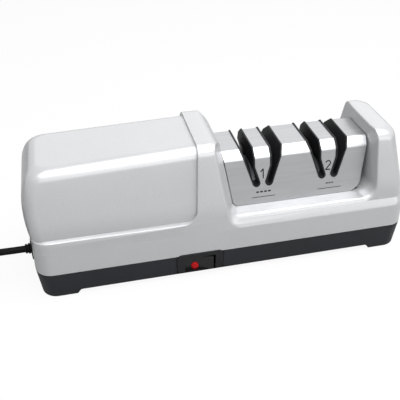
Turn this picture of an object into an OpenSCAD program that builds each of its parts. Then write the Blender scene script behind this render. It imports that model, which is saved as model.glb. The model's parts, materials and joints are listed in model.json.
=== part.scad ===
// Two-stage electric knife sharpener: a motor housing on a dark base tray, a folded steel
// guide cover with four slanted slots, and two pairs of sprung grinding discs on one shaft.
// Millimetres. X runs along the body, the front faces -Y, Z is up. The origin is the middle
// of the footprint, on the surface that the rubber feet stand on.

/* [Body] */
// Length of the body at the seam
body_l = 252; // [245:1:262]
// Depth of the body at the seam
body_w = 78; // [77:0.5:84]
// Height of the top of the collar
body_h = 92; // [90:0.5:96]
// Height of the seam between the tray and the housing
seam_z = 19.4; // [18.8:0.2:20.4]
// Radius of the body's corners in plan
corner_r = 11; // [8:0.5:13]
// Wall of the housing
wall = 2.4; // [1.8:0.1:3]
// Height where the upright wall starts to lean inwards
bend_z = 52; // [50:1:56]
// Lean of the upper walls from upright, in degrees
wall_lean = 16.6; // [14:0.2:18]
// Radius of the long top edges
top_edge_r = 9; // [6:0.5:11]

/* [Motor cover] */
// How far the motor cover is set in from the body's wall
cover_inset = 2.5; // [1.5:0.1:3.2]
// Height of the outer edge of the ledge below the motor cover
ledge_z = 44; // [42:0.5:47]
// Height of the cover's top at its outer end
cover_end_z = 87; // [85:0.5:88.5]
// Height of the cover's top at the collar
cover_top_z = 90.3; // [89:0.1:91]
// Radius of the cover's end, seen from the front
cover_end_r = 14; // [10:0.5:16]

/* [Collar] */
// Place of the collar's left edge at its top
collar_x = -19.3; // [-22:0.1:-18]
// Lean of the collar's left edge, in degrees
collar_lean = 4.4; // [2:0.2:6]
// Radius where the collar's top rolls over towards the guide
collar_roll_r = 10; // [7:0.5:12]

/* [Bolster] */
// Height of the bolster's top
bolster_h = 87.5; // [86:0.5:89]
// How far the bolster's front wall is set in
bolster_inset = 2.6; // [1.5:0.1:3.2]
// Height of the outer edge of the ledge below the bolster
bolster_ledge_z = 35; // [33:0.5:37]
// Lean of the bolster's outer end, in degrees
bolster_lean = 12.7; // [11:0.1:14]
// Radius of the edges round the bolster's top
bolster_edge_r = 5; // [3:0.5:6]

/* [Trough] */
// Height of the sill that the guide cover stands on
sill_z = 43; // [42:0.2:43.6]
// Radius of the sill's rounded front edge
sill_r = 7; // [5:0.5:8]
// Left end of the trough, at the sill
trough_x0 = 5.1; // [3:0.1:7]
// Right end of the trough, at the sill
trough_x1 = 93.8; // [92.5:0.1:95]
// Radius of the trough's lower left corners
trough_left_r = 5; // [3:0.5:7]
// Radius of the trough's lower right corners
trough_right_r = 9; // [6:0.5:10]

/* [Guide cover] */
// Height of the cover's flat top
guide_z = 79; // [78:0.2:81]
// Half of the depth of the flat top
guide_top_y = 12.8; // [12:0.2:14]
// Height of the fold below the shoulder
shoulder_z = 74.2; // [73.6:0.2:75]
// Half of the depth at the fold below the shoulder
shoulder_y = 17.8; // [17:0.1:18.6]
// Half of the depth at the sill
guide_foot_y = 24.9; // [24:0.1:26]
// Thickness of the steel sheet
sheet_t = 0.8; // [0.6:0.1:1.2]

/* [Slots] */
// Middle of the first stage
stage_1_x = 25.4; // [25:0.1:26]
// Middle of the second stage
stage_2_x = 71; // [70.4:0.1:71.4]
// From the stage's middle to a slot's outer edge, at the flat top
slot_top_out = 14.4; // [13.8:0.1:14.8]
// From the stage's middle to a slot's inner edge, at the flat top
slot_top_in = 5.2; // [4.8:0.1:5.6]
// Height where the inner edge starts to slant
slot_bend_z = 68.5; // [67:0.5:70]
// Width of the slanted part of a slot
slot_w = 5.2; // [5:0.1:6]
// Lean of the slots from upright, in degrees
slot_lean = 18; // [17:0.5:19]
// Height of the bottom of the slots
slot_floor_z = 54.8; // [54.2:0.2:55.6]
// Wall of the black lining in the slots
lining_t = 1; // [0.8:0.1:1.1]
// How far the lining stands out of the steel
lining_proud = 0.5; // [0.2:0.1:0.9]
// Thickness of the moulded guide under the steel
hood_t = 1.8; // [1.4:0.1:2.2]

/* [Grinding unit] */
// Height of the shaft's axis
axis_z = 44; // [43.6:0.1:44.4]
// Radius of a grinding disc
disc_r = 19; // [18:0.2:19.6]
// Thickness of a grinding disc
disc_t = 2; // [1.6:0.1:2.4]
// From the stage's middle to the working face of a disc
disc_face = 5; // [4.8:0.1:5.2]
// How far a disc can be pushed back against its spring
disc_travel = 1.2; // [0.8:0.1:1.4]
// Radius of the grinding shaft
shaft_r = 4; // [3.5:0.1:4.2]
// Radius of a disc's hub
hub_r = 6.5; // [6.2:0.1:7]
// Length of a disc's hub, outside the disc
hub_l = 5.5; // [5:0.1:6]
// Radius of the drive pins
pin_r = 1; // [0.8:0.05:1.1]
// Wire of the disc springs
spring_wire = 0.9; // [0.7:0.05:1]
// Mean radius of the disc springs
spring_r = 5.4; // [5.2:0.1:5.8]
// Coils of a disc spring
spring_coils = 3; // [2:1:4]
// Outer radius of the bushings
bushing_r = 6.5; // [6:0.1:7]
// Length of a bushing
bushing_l = 7; // [6:0.5:7.5]

/* [Motor] */
// Radius of the motor's can
can_r = 24; // [22:0.5:25]
// Clearance between the body's left end and the motor's can
motor_room = 30; // [29:0.5:34]
// Right end of the motor's can
can_x = -46; // [-48:0.5:-45]
// Wall of the can
can_t = 1.5; // [1:0.1:2]
// Radius of the motor's shaft
motor_shaft_r = 2.5; // [2:0.1:3]
// Radius of the armature
armature_r = 18.4; // [16:0.2:18.8]
// Length of the can that the armature's stack leaves free
stack_room = 23; // [22:0.5:30]
// Radius of the cooling fan
fan_r = 20; // [16:0.5:22]
// Radius of the shaft coupling
coupling_r = 8; // [7:0.2:9]

/* [Base tray] */
// Wall of the tray
tray_wall = 2.2; // [1.8:0.1:2.6]
// Floor of the tray between the feet
tray_floor = 1.6; // [1.2:0.1:1.8]
// Clear height under the tray between the feet
belly_z = 4.6; // [4.4:0.1:4.8]
// Half of the clear length between the foot blocks, at the ground
foot_x = 102.5; // [101:0.5:104]
// Slant of the foot blocks' inner sides, in degrees from upright
foot_slant = 37; // [30:1:45]
// How far the tray's end is drawn in at the ground
tray_taper_x = 2; // [1:0.1:3]
// How far the tray's side is drawn in at the ground
tray_taper_y = 0.8; // [0.4:0.1:1.5]
// Radius of the rubber feet
pad_r = 5.5; // [4.5:0.1:6]
// How far the rubber feet stand out
pad_proud = 0.6; // [0.4:0.1:0.9]
// Radius of the housing screws
screw_r = 1.5; // [1.2:0.05:1.7]

/* [Switch] */
// Middle of the switch along the body
switch_x = -20.6; // [-21:0.1:-20]
// Length of the switch's bezel
bezel_l = 31.5; // [30:0.1:33]
// Top of the bezel above the seam
bezel_rise = 0.8; // [0.5:0.1:1.1]
// Length of the rocker
rocker_l = 19.4; // [18.6:0.1:20]
// Height of the rocker
rocker_h = 9.4; // [8.8:0.1:9.6]
// Half of the rocker's swing, in degrees
rocker_tilt = 10; // [8:0.5:11]
// Radius of the red lens
lens_r = 2.6; // [2.2:0.1:2.8]

/* [Cord] */
// Diameter of the cord
cord_d = 4.5; // [4.3:0.1:4.6]
// Smallest radius of the coil
coil_r = 19; // [18.6:0.1:20]
// Distance between neighbouring turns, and between layers
coil_pitch = 4.95; // [4.95:0.01:5.1]
// Turns in each of the coil's two layers
coil_turns = 3.25; // [3.25]
// Length of the plug's body
plug_l = 34; // [30:1:36]
// Thickness of the plug's body
plug_t = 14; // [13.4:0.1:14.4]
// Distance between the plug's pins
plug_pin_gap = 19; // [18.6:0.1:19.2]

/* [Hidden] */
$fn = 48;
eps = 0.01; // thickness of a hull's slices
cut = 1; // how far a cutter runs past a face
seat = 0.25; // gap between pieces that are seated on each other
fit = 0.05; // radial clearance of a running fit
steps = 6; // segments in a quarter of a corner
half_l = body_l / 2;
half_w = body_w / 2;

// The housing's walls
wall_foot_draw = 0.4; // how far the upright wall is drawn in at the ledge
lean_draw = 12.4; // how far inside the upright wall the leaning wall would meet the collar's top
lean_dy = tan(wall_lean);
soften = 6.5; // half of the height over which the bend is softened
ledge_rise = 2.5;
cover_shift = 0.5; // how far the motor cover's end lies inside the tray's end
bolster_start_z = 25; // where the bolster's end starts to lean
bolster_ledge_rise = 5;
sill_seat = 1.8; // width of the sill under the guide cover's edge
roll_run = 12; // how far the collar reaches under the trough's left wall
lip_gap = 0.4; // shadow gap at the seam
tongue_h = 2;
tongue_t = 1.4;

function lean_y(z) = half_w - lean_draw + (body_h - 0.2 - z) * lean_dy;
// Half depth of the body's wall: upright, then a soft bend, then leaning
function wall_y(z) =
    let(low = bend_z - soften, high = bend_z + soften, u = (z - low) / (high - low),
        y = half_w - wall_foot_draw)
    z <= low ? half_w - wall_foot_draw * (z - seam_z) / (low - seam_z)
    : z < high ? (1 - u * u) * y + u * u * lean_y(high)
    : lean_y(z);
// Centre of the top edge's rounding below a top at height t
function roll_y(t) = lean_y(t - top_edge_r) - top_edge_r / cos(wall_lean);
// Half depth of a lump with its top at t, set in by d from the body's wall
function lump_y(z, t, d) =
    z <= t - top_edge_r + top_edge_r * sin(wall_lean) ? wall_y(z) - d
    : roll_y(t) - d + sqrt(max(0, pow(top_edge_r, 2) - pow(z - t + top_edge_r, 2)));
// Heights of the rings of a lump that stands on z0 with its top at t
function lump_levels(z0, t) = concat(
    [z0],
    [for (k = [-1:0.5:1]) bend_z + k * soften],
    [for (i = [0:steps]) t - top_edge_r + top_edge_r * sin(wall_lean + (90 - wall_lean) * i / steps)]);

// Trough: its side walls are planes that flare towards the front
flare_left = 0.43; // run of the left wall for each mm towards the front
flare_right = 0.3;
left_slope = 0.175; // run of the left wall for each mm of height, beside the guide
right_slope = 0.144;
flare_left_rise = 0.28; // run of the flared left wall for each mm of height
flare_right_rise = 0.16;
trough_top = body_h + 3;
trough_stations = [for (i = [0:steps]) 90 * i / steps];

guide_slope = (guide_foot_y - shoulder_y) / (shoulder_z - sill_z);
function guide_y(z) = guide_foot_y - (z - sill_z) * guide_slope;
function side_left(z) = trough_x0 - (z - sill_z) * left_slope;
function side_right(z) = trough_x1 + (z - sill_z) * right_slope;
function flared_left(y, z) = trough_x0 - flare_left * (y - guide_foot_y) - flare_left_rise * (z - sill_z);
function flared_right(y, z) = trough_x1 + flare_right * (y - guide_foot_y) + flare_right_rise * (z - sill_z);

// Slots
tan_lean = tan(slot_lean);
slot_r = slot_w / 2;
slot_low_in = slot_top_in - (slot_bend_z - slot_floor_z - slot_r) * tan_lean;
slot_low_x = slot_low_in + slot_r / cos(slot_lean);
slot_low_z = slot_floor_z + slot_r;

// Grinding unit
hub_end = disc_face + hub_l;
pin_x = hub_end - pin_r - disc_travel;
pin_l = 2 * hub_r - 1.6;
disc_room = 0.8;
hood_half = slot_top_out + 2.6;
hood_foot_z = slot_floor_z - 2.8;
bracket_t = 3;
left_bracket_x = trough_x0 + 0.5 + bracket_t / 2;
right_bracket_x = stage_2_x + hub_end + bushing_l / 2 + 1.6;
bracket_half = 15;
bracket_foot = 4;
bracket_top = axis_z + bushing_r + 3.5;
floor_z = belly_z + tray_floor;
foot_plate = 3;
shaft_x0 = -27;
shaft_x1 = right_bracket_x + bushing_l / 2 + 1.5;

// Motor
can_x0 = -half_l + motor_room;
cap_l = 6;
bearing_r = 5;
bearing_l = 5;
magnet_t = can_r - can_t - armature_r - 0.7;
armature_l = can_x - can_x0 - stack_room;
armature_x0 = can_x - 12 - armature_l;
commutator_r = 6;
commutator_l = 8;
fan_x = can_x + 2.5;
fan_w = 6;
coupling_x0 = fan_x + fan_w + 1;
coupling_x1 = -15;
cradle_x0 = can_x0 + 8;
cradle_x1 = can_x - 8;
strap_w = 12;
strap_x = (cradle_x0 + cradle_x1) / 2;
strap_t = 1;
strap_ear = 8;

// Tray
boss_x = half_l - 18;
boss_y = 20;
boss_r = 4.6;
boss_top = 34;
head_r = 2.8;
head_h = 2;
pad_x = half_l - 12;
pad_y = half_w - 11;
pad_h = 2;
cleanout_x0 = 20;
cleanout_x1 = 73;
cleanout_y = 20;
cleanout_head = 1.1; // height of its flat screw heads

// Switch
bezel_z0 = belly_z;
bezel_z1 = seam_z + bezel_rise;
bezel_t = 2.4;
bezel_y = -half_w - 0.4;
rocker_z = (floor_z + 1.4 + seam_z - 2) / 2;
rocker_r = rocker_l / 2;
rocker_y = bezel_y + 5.2; // the rocker's pivot
switch_depth = 17;
switch_wall = 1.2;
axle_r = 1.2;

// Cord
exit_y = -14;
exit_z = 24;
flange_t = 1.5;
flange_h = 14.5;
flange_w = 10;
nub_l = 4;
cord_x = half_l + flange_t + nub_l;
floor_rest = cord_d / 2 + 0.05;
// Points of the free stretch from the strain relief to the coil, relative to the exit
lead_route = [[0, 0], [8, 0], [17, 0], [25, -0.9], [33, -3.8], [41, -8.6], [49, -14.6], [56, -18.8],
    [62, -21]];
lead_end = 68;
coil_x = -cord_x - lead_end - cord_d;
coil_y = exit_y + coil_r + coil_turns * coil_pitch;
coil_z = floor_rest;
coil_top_z = coil_z + coil_pitch;
ring_count = 24; // rings in a loop of the coil
coil_sides = 6;
tail_l = 24;
boot_l = 14;
plug_pin_l = 19;
plug_pin_r = 2;
plug_w = 26;
plug_x = coil_x - cord_d - tail_l;
plug_y = exit_y;
plug_z = plug_t / 2;

// Colours
pearl = "gainsboro";
dark = "#2e3036";
black = "#1c1c1e";
steel = "silver";
brass = "goldenrod";
copper = "#b87333";

// Points of an arc
function arc(cx, cy, r, a0, a1, n = steps) =
    [for (i = [0:n]) let(a = a0 + (a1 - a0) * i / n) [cx + r * cos(a), cy + r * sin(a)]];

// Outline of a rectangle with rounded corners
function round_rect(x0, x1, y0, y1, r, n = steps) = concat(
    arc(x1 - r, y0 + r, r, -90, 0, n), arc(x1 - r, y1 - r, r, 0, 90, n),
    arc(x0 + r, y1 - r, r, 90, 180, n), arc(x0 + r, y0 + r, r, 180, 270, n));

// Thin horizontal slice, mirrored about the XZ plane
module slice(z, x0, x1, y, r)
    translate([0, 0, z])
        linear_extrude(eps)
            polygon(round_rect(x0, x1, -y, y, r));

// Ring of points round a lump at height z, clockwise from above, with its left and right corner radii
function ring(z, x0, x1, y, rl, rr) = [for (p = concat(
    rr > 0 ? concat(arc(x1 - rr, -y + rr, rr, -90, 0), arc(x1 - rr, y - rr, rr, 0, 90)) : [[x1, -y], [x1, y]],
    rl > 0 ? concat(arc(x0 + rl, y - rl, rl, 90, 180), arc(x0 + rl, -y + rl, rl, 180, 270))
    : [[x0, y], [x0, -y]]))
    [p[0], -p[1], z]];

// Cylinder along X from x0 to x1, on the shaft's axis unless it is told otherwise
module rod(x0, x1, r, y = 0, z = axis_z)
    translate([x0, y, z])
        rotate([0, 90, 0])
            cylinder(r = r, h = x1 - x0);

module pipe(x0, x1, r_out, r_in, y = 0, z = axis_z)
    difference() {
        rod(x0, x1, r_out, y, z);
        rod(x0 - cut, x1 + cut, r_in, y, z);
    }

// Box between two corners
module block(low, high)
    translate(low)
        cube(high - low);

// Skin over rings of points, all with the same count, closed at both ends
module skin(rings) {
    n = len(rings[0]);
    last = len(rings) - 1;
    polyhedron(
        points = [for (ring = rings) each ring],
        faces = concat(
            [[for (i = [n - 1:-1:0]) i]],
            [[for (i = [0:n - 1]) last * n + i]],
            [for (k = [0:last - 1], i = [0:n - 1]) let(j = (i + 1) % n)
                each [[k * n + i, k * n + j, (k + 1) * n + j],
                    [k * n + i, (k + 1) * n + j, (k + 1) * n + i]]]),
        convexity = 6);
}

// Round tube swept along points that stay close to level; its ends are square
function unit(v) = v / norm(v);
function tangent(path, i) = unit(path[min(i + 1, len(path) - 1)] - path[max(i - 1, 0)]);
function across(t) = unit(cross(t, [0, 0, 1]));
function tube_rings(path, r, sides) = [for (i = [0:len(path) - 1])
    let(t = tangent(path, i), u = across(t), v = cross(u, t))
        [for (k = [0:sides - 1]) let(a = 90 + 360 * k / sides) path[i] + r * (cos(a) * u + sin(a) * v)]];
module tube(path, r, sides) skin(tube_rings(path, r, sides));

// ---- Housing ----
// Lumps that share a wall are set in by a multiple of this, so that no two faces fall together
hair = 0.03;
lump_foot = 30; // where the upper lumps start, inside the low body
hidden = 3; // how far a lump reaches into its neighbour

// The low body round the whole plan, up to the bolster's ledge; d is how far it is set in
module low_body(d) {
    foot = seam_z - (d > 0 ? cut : 0);
    ledge = bolster_ledge_z - d / 2;
    top = bolster_ledge_z + bolster_ledge_rise - d;
    end = bolster_right(bolster_ledge_z + bolster_ledge_rise, d);
    skin([
        ring(foot, -half_l + d, half_l - d, half_w - d, corner_r - d, corner_r - d),
        ring(ledge, -half_l + 0.3 + d, (half_l - d + end) / 2 + 0.6, wall_y(ledge) - d,
            corner_r - d, corner_r - d),
        ring(top, -half_l + bolster_inset + d, end, wall_y(ledge) - bolster_inset - d,
            corner_r - bolster_inset - d, corner_r - bolster_inset - d)]);
}

// The body under the motor cover, with its ledge
module left_body(d) {
    ledge = ledge_z - d / 2;
    skin([
        ring(lump_foot, -half_l + 0.3 + hair + d, collar_x + hidden, wall_y(lump_foot) - hair - d,
            corner_r - d, 0),
        ring(ledge, -half_l + 0.5 + hair + d, collar_x + hidden, wall_y(ledge) - hair - d, corner_r - d, 0),
        ring(ledge_z + ledge_rise - d, -half_l + ledge_rise + d, collar_x + hidden,
            wall_y(ledge) - ledge_rise - d, corner_r - ledge_rise - d, 0)]);
}

// The body under the trough, up to the sill
module middle(d) {
    front = wall_y(bolster_ledge_z) - 2 * hair - d;
    r = sill_r + 0.3 - d;
    translate([collar_x + 5, 0, 0])
        rotate([90, 0, 90])
            linear_extrude(flared_right(half_w, sill_z) - collar_x - 4)
                polygon(concat(
                    [[-front, lump_foot], [front, lump_foot]],
                    arc(front - r, sill_z + 0.3 - d - r, r, 0, 90),
                    arc(-front + r, sill_z + 0.3 - d - r, r, 90, 180)));
}

// Left end of the motor cover at height z, for an end with its top at t
function end_x(z, t, d) = -half_l + cover_shift + d
    + (z > t - cover_end_r
        ? cover_end_r - sqrt(max(0, pow(cover_end_r, 2) - pow(z - t + cover_end_r, 2))) : 0);

// The motor cover: its rings tilt, because its top falls towards its end
module motor_cover(d) {
    low = lump_levels(lump_foot, cover_end_z - d);
    high = lump_levels(lump_foot, cover_top_z - d);
    x1 = collar_x + hidden + 2 * hair;
    skin([for (i = [0:len(low) - 1])
        let(x0 = end_x(low[i], cover_end_z - d, d),
            y0 = lump_y(low[i], cover_end_z - d, cover_inset + d),
            y1 = lump_y(high[i], cover_top_z - d, cover_inset + d))
            [for (p = ring(0, x0, x1, y0, corner_r - d, 0)) let(u = (p[0] - x0) / (x1 - x0))
                [p[0], p[1] * (1 + (y1 / y0 - 1) * u), low[i] + (high[i] - low[i]) * u]]]);
}

// Right side of the collar at height z, which the trough cuts back
function collar_right(z, d) =
    let(x = collar_x + 7.3 - d, low = body_h - collar_roll_r)
    z > low ? x + sqrt(max(0, pow(collar_roll_r, 2) - pow(z - low, 2)))
    : x + collar_roll_r + (low - z) * roll_run / 25;

module collar(d)
    skin([for (z = lump_levels(lump_foot, body_h - d))
        ring(z, collar_x + d - (body_h - z) * tan(collar_lean), collar_right(z + d, d),
            lump_y(z, body_h - d, hair / 2 + d), 0, 0)]);

// Right side of the bolster at height z
function bolster_right(z, d) =
    let(low = bolster_h - bolster_edge_r)
    half_l - d - max(0, z - bolster_start_z) * tan(bolster_lean)
    - (z > low ? bolster_edge_r - sqrt(max(0, pow(bolster_edge_r, 2) - pow(z - low, 2))) : 0);

module bolster(d)
    skin([for (z = lump_levels(lump_foot, bolster_h - d))
        ring(z, trough_x1 - 4, bolster_right(z + d, d) - hair,
            lump_y(z, bolster_h - d, bolster_inset + hair + d), 0, corner_r - bolster_inset - d)]);

// Outline of the trough in XZ between the walls x0(z) and x1(z), as 3D points on y(z)
function trough_ring(front, y, floor_at, g) =
    let(rl = trough_left_r + g, rr = trough_right_r + g,
        depth = function (z) front ? y : (guide_y(z) - g),
        left = function (z) (front ? flared_left(y, z) : flared_left(guide_y(z), z)) - g,
        right = function (z) (front ? flared_right(y, z) : flared_right(guide_y(z), z)) + g)
    concat(
        [[left(trough_top), depth(trough_top), trough_top]],
        [for (p = arc(left(floor_at + rl) + rl, floor_at + rl, rl, 180, 270)) [p[0], depth(p[1]), p[1]]],
        [for (p = arc(right(floor_at + rr) - rr, floor_at + rr, rr, 270, 360)) [p[0], depth(p[1]), p[1]]],
        [[right(trough_top), depth(trough_top), trough_top]]);

// The front half of the open trough, grown by g for the wall behind it
module trough_front(g) {
    front = half_w - wall_foot_draw;
    centre = front - sill_r;
    skin(concat(
        [trough_ring(false, 0, sill_z - g, g)],
        [for (a = trough_stations)
            trough_ring(true, centre + (sill_r - g) * sin(a), sill_z - sill_r + (sill_r - g) * cos(a), g)],
        [trough_ring(true, half_w + 5, sill_z - sill_r, g)]));
}

// Outline of the trough beside the guide cover, in XZ
function trough_outline(g, top) = concat(
    [[side_left(top) - g, top]],
    arc(side_left(sill_z + trough_left_r) - g + trough_left_r + g, sill_z + trough_left_r,
        trough_left_r + g, 180, 270),
    arc(side_right(sill_z + trough_right_r) - trough_right_r, sill_z + trough_right_r,
        trough_right_r + g, 270, 360),
    [[side_right(top) + g, top]]);

// Extrudes an outline in XZ along Y, for y from -half to half
module along_y(half)
    translate([0, half, 0])
        rotate([90, 0, 0])
            linear_extrude(2 * half)
                children();

module trough(g) {
    along_y(guide_foot_y)
        polygon(trough_outline(g, trough_top));
    mirror([0, 1, 0])
        trough_front(g);
    trough_front(g);
}

module lumps(d) {
    low_body(d);
    left_body(d);
    middle(d);
    motor_cover(d);
    collar(d);
    bolster(d);
}

module housing() color(pearl) {
    difference() {
        lumps(0);
        trough(0);
        difference() {
            lumps(wall);
            trough(wall);
        }
        // Opening in the sill under the guide cover
        block([trough_x0, -guide_foot_y + sill_seat, seam_z - cut],
            [trough_x1, guide_foot_y - sill_seat, sill_z + bushing_r]);
        // Way for the shaft through the collar's wall
        rod(collar_x, trough_x0 + cut + 2, bushing_r + 1);
        // Notch over the switch's bezel
        block([switch_x - bezel_l / 2 - seat, -half_w - cut, seam_z - cut],
            [switch_x + bezel_l / 2 + seat, -half_w + bezel_t + cut, bezel_z1 + seat]);
        // Hole for the strain relief
        rod(-half_l - cut, -half_l + wall + 2, flange_w / 2, exit_y, exit_z);
    }
    for (x = [-1, 1], y = [-1, 1])
        difference() {
            union() {
                translate([x * boss_x, y * boss_y, seam_z])
                    cylinder(r = boss_r, h = boss_top - seam_z);
                block([min(x * boss_x, x * (half_l - wall - 0.2)), y * boss_y - 1, seam_z + 3],
                    [max(x * boss_x, x * (half_l - wall - 0.2)), y * boss_y + 1, boss_top]);
            }
            translate([x * boss_x, y * boss_y, seam_z - cut])
                cylinder(r = screw_r + 0.1, h = boss_top - seam_z - 1);
        }
}

// ---- Base tray ----

module foot_gap()
    along_y(half_w + cut)
        polygon([[-foot_x, -cut], [foot_x, -cut], [foot_x, 0], [foot_x - belly_z * tan(foot_slant), belly_z],
            [-foot_x + belly_z * tan(foot_slant), belly_z], [-foot_x, 0]]);

module base_tray() color(dark)
    difference() {
        union() {
            difference() {
                hull() {
                    slice(pad_proud, -half_l + tray_taper_x, half_l - tray_taper_x,
                        half_w - tray_taper_y, corner_r - 1);
                    slice(seam_z - lip_gap - eps, -half_l, half_l, half_w, corner_r);
                }
                hull() {
                    slice(floor_z, -half_l + tray_taper_x + tray_wall, half_l - tray_taper_x - tray_wall,
                        half_w - tray_taper_y - tray_wall, corner_r - 1 - tray_wall);
                    slice(seam_z, -half_l + tray_wall + wall, half_l - tray_wall - wall,
                        half_w - tray_wall - wall, corner_r - tray_wall - wall);
                }
            }
            // Tongue inside the housing's wall
            difference() {
                translate([0, 0, seam_z - lip_gap - 2])
                    linear_extrude(tongue_h + lip_gap + 2)
                        polygon(round_rect(-half_l + wall + seat, half_l - wall - seat,
                            -half_w + wall + seat, half_w - wall - seat, corner_r - wall));
                translate([0, 0, floor_z])
                    linear_extrude(seam_z)
                        polygon(round_rect(-half_l + wall + tongue_t, half_l - wall - tongue_t,
                            -half_w + wall + tongue_t, half_w - wall - tongue_t, corner_r - wall - tongue_t));
            }
            for (x = [-boss_x, boss_x], y = [-boss_y, boss_y])
                translate([x, y, floor_z - eps])
                    cylinder(r = boss_r, h = seam_z - floor_z + eps);
        }
        foot_gap();
        for (x = [-boss_x, boss_x], y = [-boss_y, boss_y])
            translate([x, y, 0]) {
                cylinder(r = screw_r + 0.2, h = seam_z + cut);
                cylinder(r = head_r + seat, h = belly_z + head_h + 1);
            }
        for (x = [-pad_x, pad_x], y = [-pad_y, pad_y])
            translate([x, y, 0])
                cylinder(r = pad_r + seat, h = pad_h);
        // Seat of the switch, open to the seam
        block([switch_x - bezel_l / 2 - seat, -half_w - cut, bezel_z0 + 0.6],
            [switch_x + bezel_l / 2 + seat, bezel_y + bezel_t + 3, seam_z + 5]);
        // Opening under the grinding discs
        block([cleanout_x0, -cleanout_y, belly_z - cut], [cleanout_x1, cleanout_y, floor_z + cut]);
        for (x = [cleanout_x0 - 4, cleanout_x1 + 4])
            translate([x, 0, belly_z - cut]) {
                cylinder(r = screw_r + 0.1, h = tray_floor + 2 * cut);
                cylinder(r = head_r + seat, h = cut + cleanout_head);
            }
        // Hole for the strain relief's flange
        rod(-half_l - cut, -half_l + wall + 3, flange_w / 2, exit_y, exit_z);
    }

module rubber_feet() color(black)
    for (x = [-pad_x, pad_x], y = [-pad_y, pad_y])
        translate([x, y, 0])
            cylinder(r = pad_r, h = pad_h);

module base_screws() color(steel)
    for (x = [-boss_x, boss_x], y = [-boss_y, boss_y])
        translate([x, y, belly_z + 1]) {
            difference() {
                cylinder(r = head_r, h = head_h);
                block([-head_r, -0.4, -cut], [head_r, 0.4, 0.8]);
            }
            cylinder(r = screw_r, h = boss_top - 4 - belly_z);
        }

// Plate under the discs, for emptying out the filings
module cleanout_cover() color(dark)
    difference() {
        union() {
            block([cleanout_x0 - 8, -cleanout_y - 3, floor_z + seat - eps],
                [cleanout_x1 + 8, cleanout_y + 3, floor_z + seat + 1.2]);
            block([cleanout_x0 + seat, -cleanout_y + seat, belly_z], [cleanout_x1 - seat, cleanout_y - seat,
                floor_z + seat]);
        }
        for (x = [cleanout_x0 - 4, cleanout_x1 + 4])
            translate([x, 0, belly_z])
                cylinder(r = screw_r + 0.1, h = 6);
    }

module cleanout_screws() color(steel)
    for (x = [cleanout_x0 - 4, cleanout_x1 + 4])
        translate([x, 0, belly_z]) {
            cylinder(r = head_r, h = cleanout_head - 0.05);
            cylinder(r = screw_r, h = tray_floor + seat + 3);
        }

// ---- Switch ----

module switch_bezel() color(black)
    difference() {
        translate([0, bezel_y + bezel_t, 0])
            rotate([90, 0, 0])
                linear_extrude(bezel_t)
                    polygon(round_rect(switch_x - bezel_l / 2, switch_x + bezel_l / 2,
                        bezel_z0 + 0.8, bezel_z1, 2.2));
        block([switch_x - rocker_r - 0.6, -half_w - 2, rocker_z - rocker_h / 2 - 0.4],
            [switch_x + rocker_r + 0.6, 0, rocker_z + rocker_h / 2 + 0.4]);
    }

// The rocker's outline seen from above, drawn about its pivot with the switch upright
function rocker_outline() = concat(
    [[-rocker_r + 1, 1.6], [-rocker_r + 0.5, -3.4]],
    [[-rocker_r + 1.4, -4.4], [0, -3.2], [rocker_r - 1.4, -4.4]],
    [[rocker_r - 0.5, -3.4], [rocker_r - 1, 1.6], [0, 3.2]]);

module at_rocker()
    translate([switch_x, rocker_y, rocker_z])
        rotate([0, 0, -rocker_tilt])
            children();

module lens_axis()
    translate([-rocker_r / 2 + 0.5, -5, 0])
        rotate([-90, 0, 0])
            children();

module rocker() color(black)
    at_rocker() {
        difference() {
            translate([0, 0, -rocker_h / 2])
                linear_extrude(rocker_h)
                    polygon(rocker_outline());
            lens_axis()
                cylinder(r = lens_r + fit, h = 3.6);
        }
        translate([0, 0, -rocker_h / 2 - 0.9])
            cylinder(r = axle_r, h = rocker_h + 1.8);
    }

module rocker_lens() color("#c01018")
    at_rocker()
        lens_axis() {
            translate([0, 0, 1.2])
                cylinder(r = lens_r, h = 2.35);
            translate([0, 0, 0.8])
                cylinder(r = lens_r - 0.5, h = 0.5);
        }

module switch_body() color("#2a2a2c")
    difference() {
        block([switch_x - rocker_r - 1.9, bezel_y + bezel_t, rocker_z - rocker_h / 2 - 0.4 - switch_wall],
            [switch_x + rocker_r + 1.9, bezel_y + bezel_t + switch_depth,
                rocker_z + rocker_h / 2 + 0.4 + switch_wall]);
        block([switch_x - rocker_r - 0.7, bezel_y, rocker_z - rocker_h / 2 - 0.4],
            [switch_x + rocker_r + 0.7, bezel_y + bezel_t + 8, rocker_z + rocker_h / 2 + 0.4]);
        translate([switch_x, rocker_y, rocker_z - rocker_h])
            cylinder(r = axle_r + fit, h = 2 * rocker_h);
    }

module switch_terminals() color(brass)
    for (x = [-6, 0, 6])
        block([switch_x + x - 0.4, bezel_y + bezel_t + switch_depth, rocker_z - 2.4],
            [switch_x + x + 0.4, bezel_y + bezel_t + switch_depth + 6, rocker_z + 2.4]);

// ---- Guide cover ----

// Half of the sheet's outline across the body, down to the height foot, set in by g
function sheet_points(g, foot) = [
    [guide_y(foot) - g, foot],
    [shoulder_y - g, shoulder_z - g * guide_slope],
    [guide_top_y - g * 0.6, guide_z - g]];
function across_points(g, foot) = let(half = sheet_points(g, foot))
    concat(half, [for (i = [2:-1:0]) [-half[i][0], half[i][1]]]);

// The solid under the sheet, from x0 to x1, set in by g
module under_sheet(x0, x1, g, foot)
    translate([x0, 0, 0])
        rotate([90, 0, 90])
            linear_extrude(x1 - x0)
                polygon(across_points(g, foot));

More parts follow.
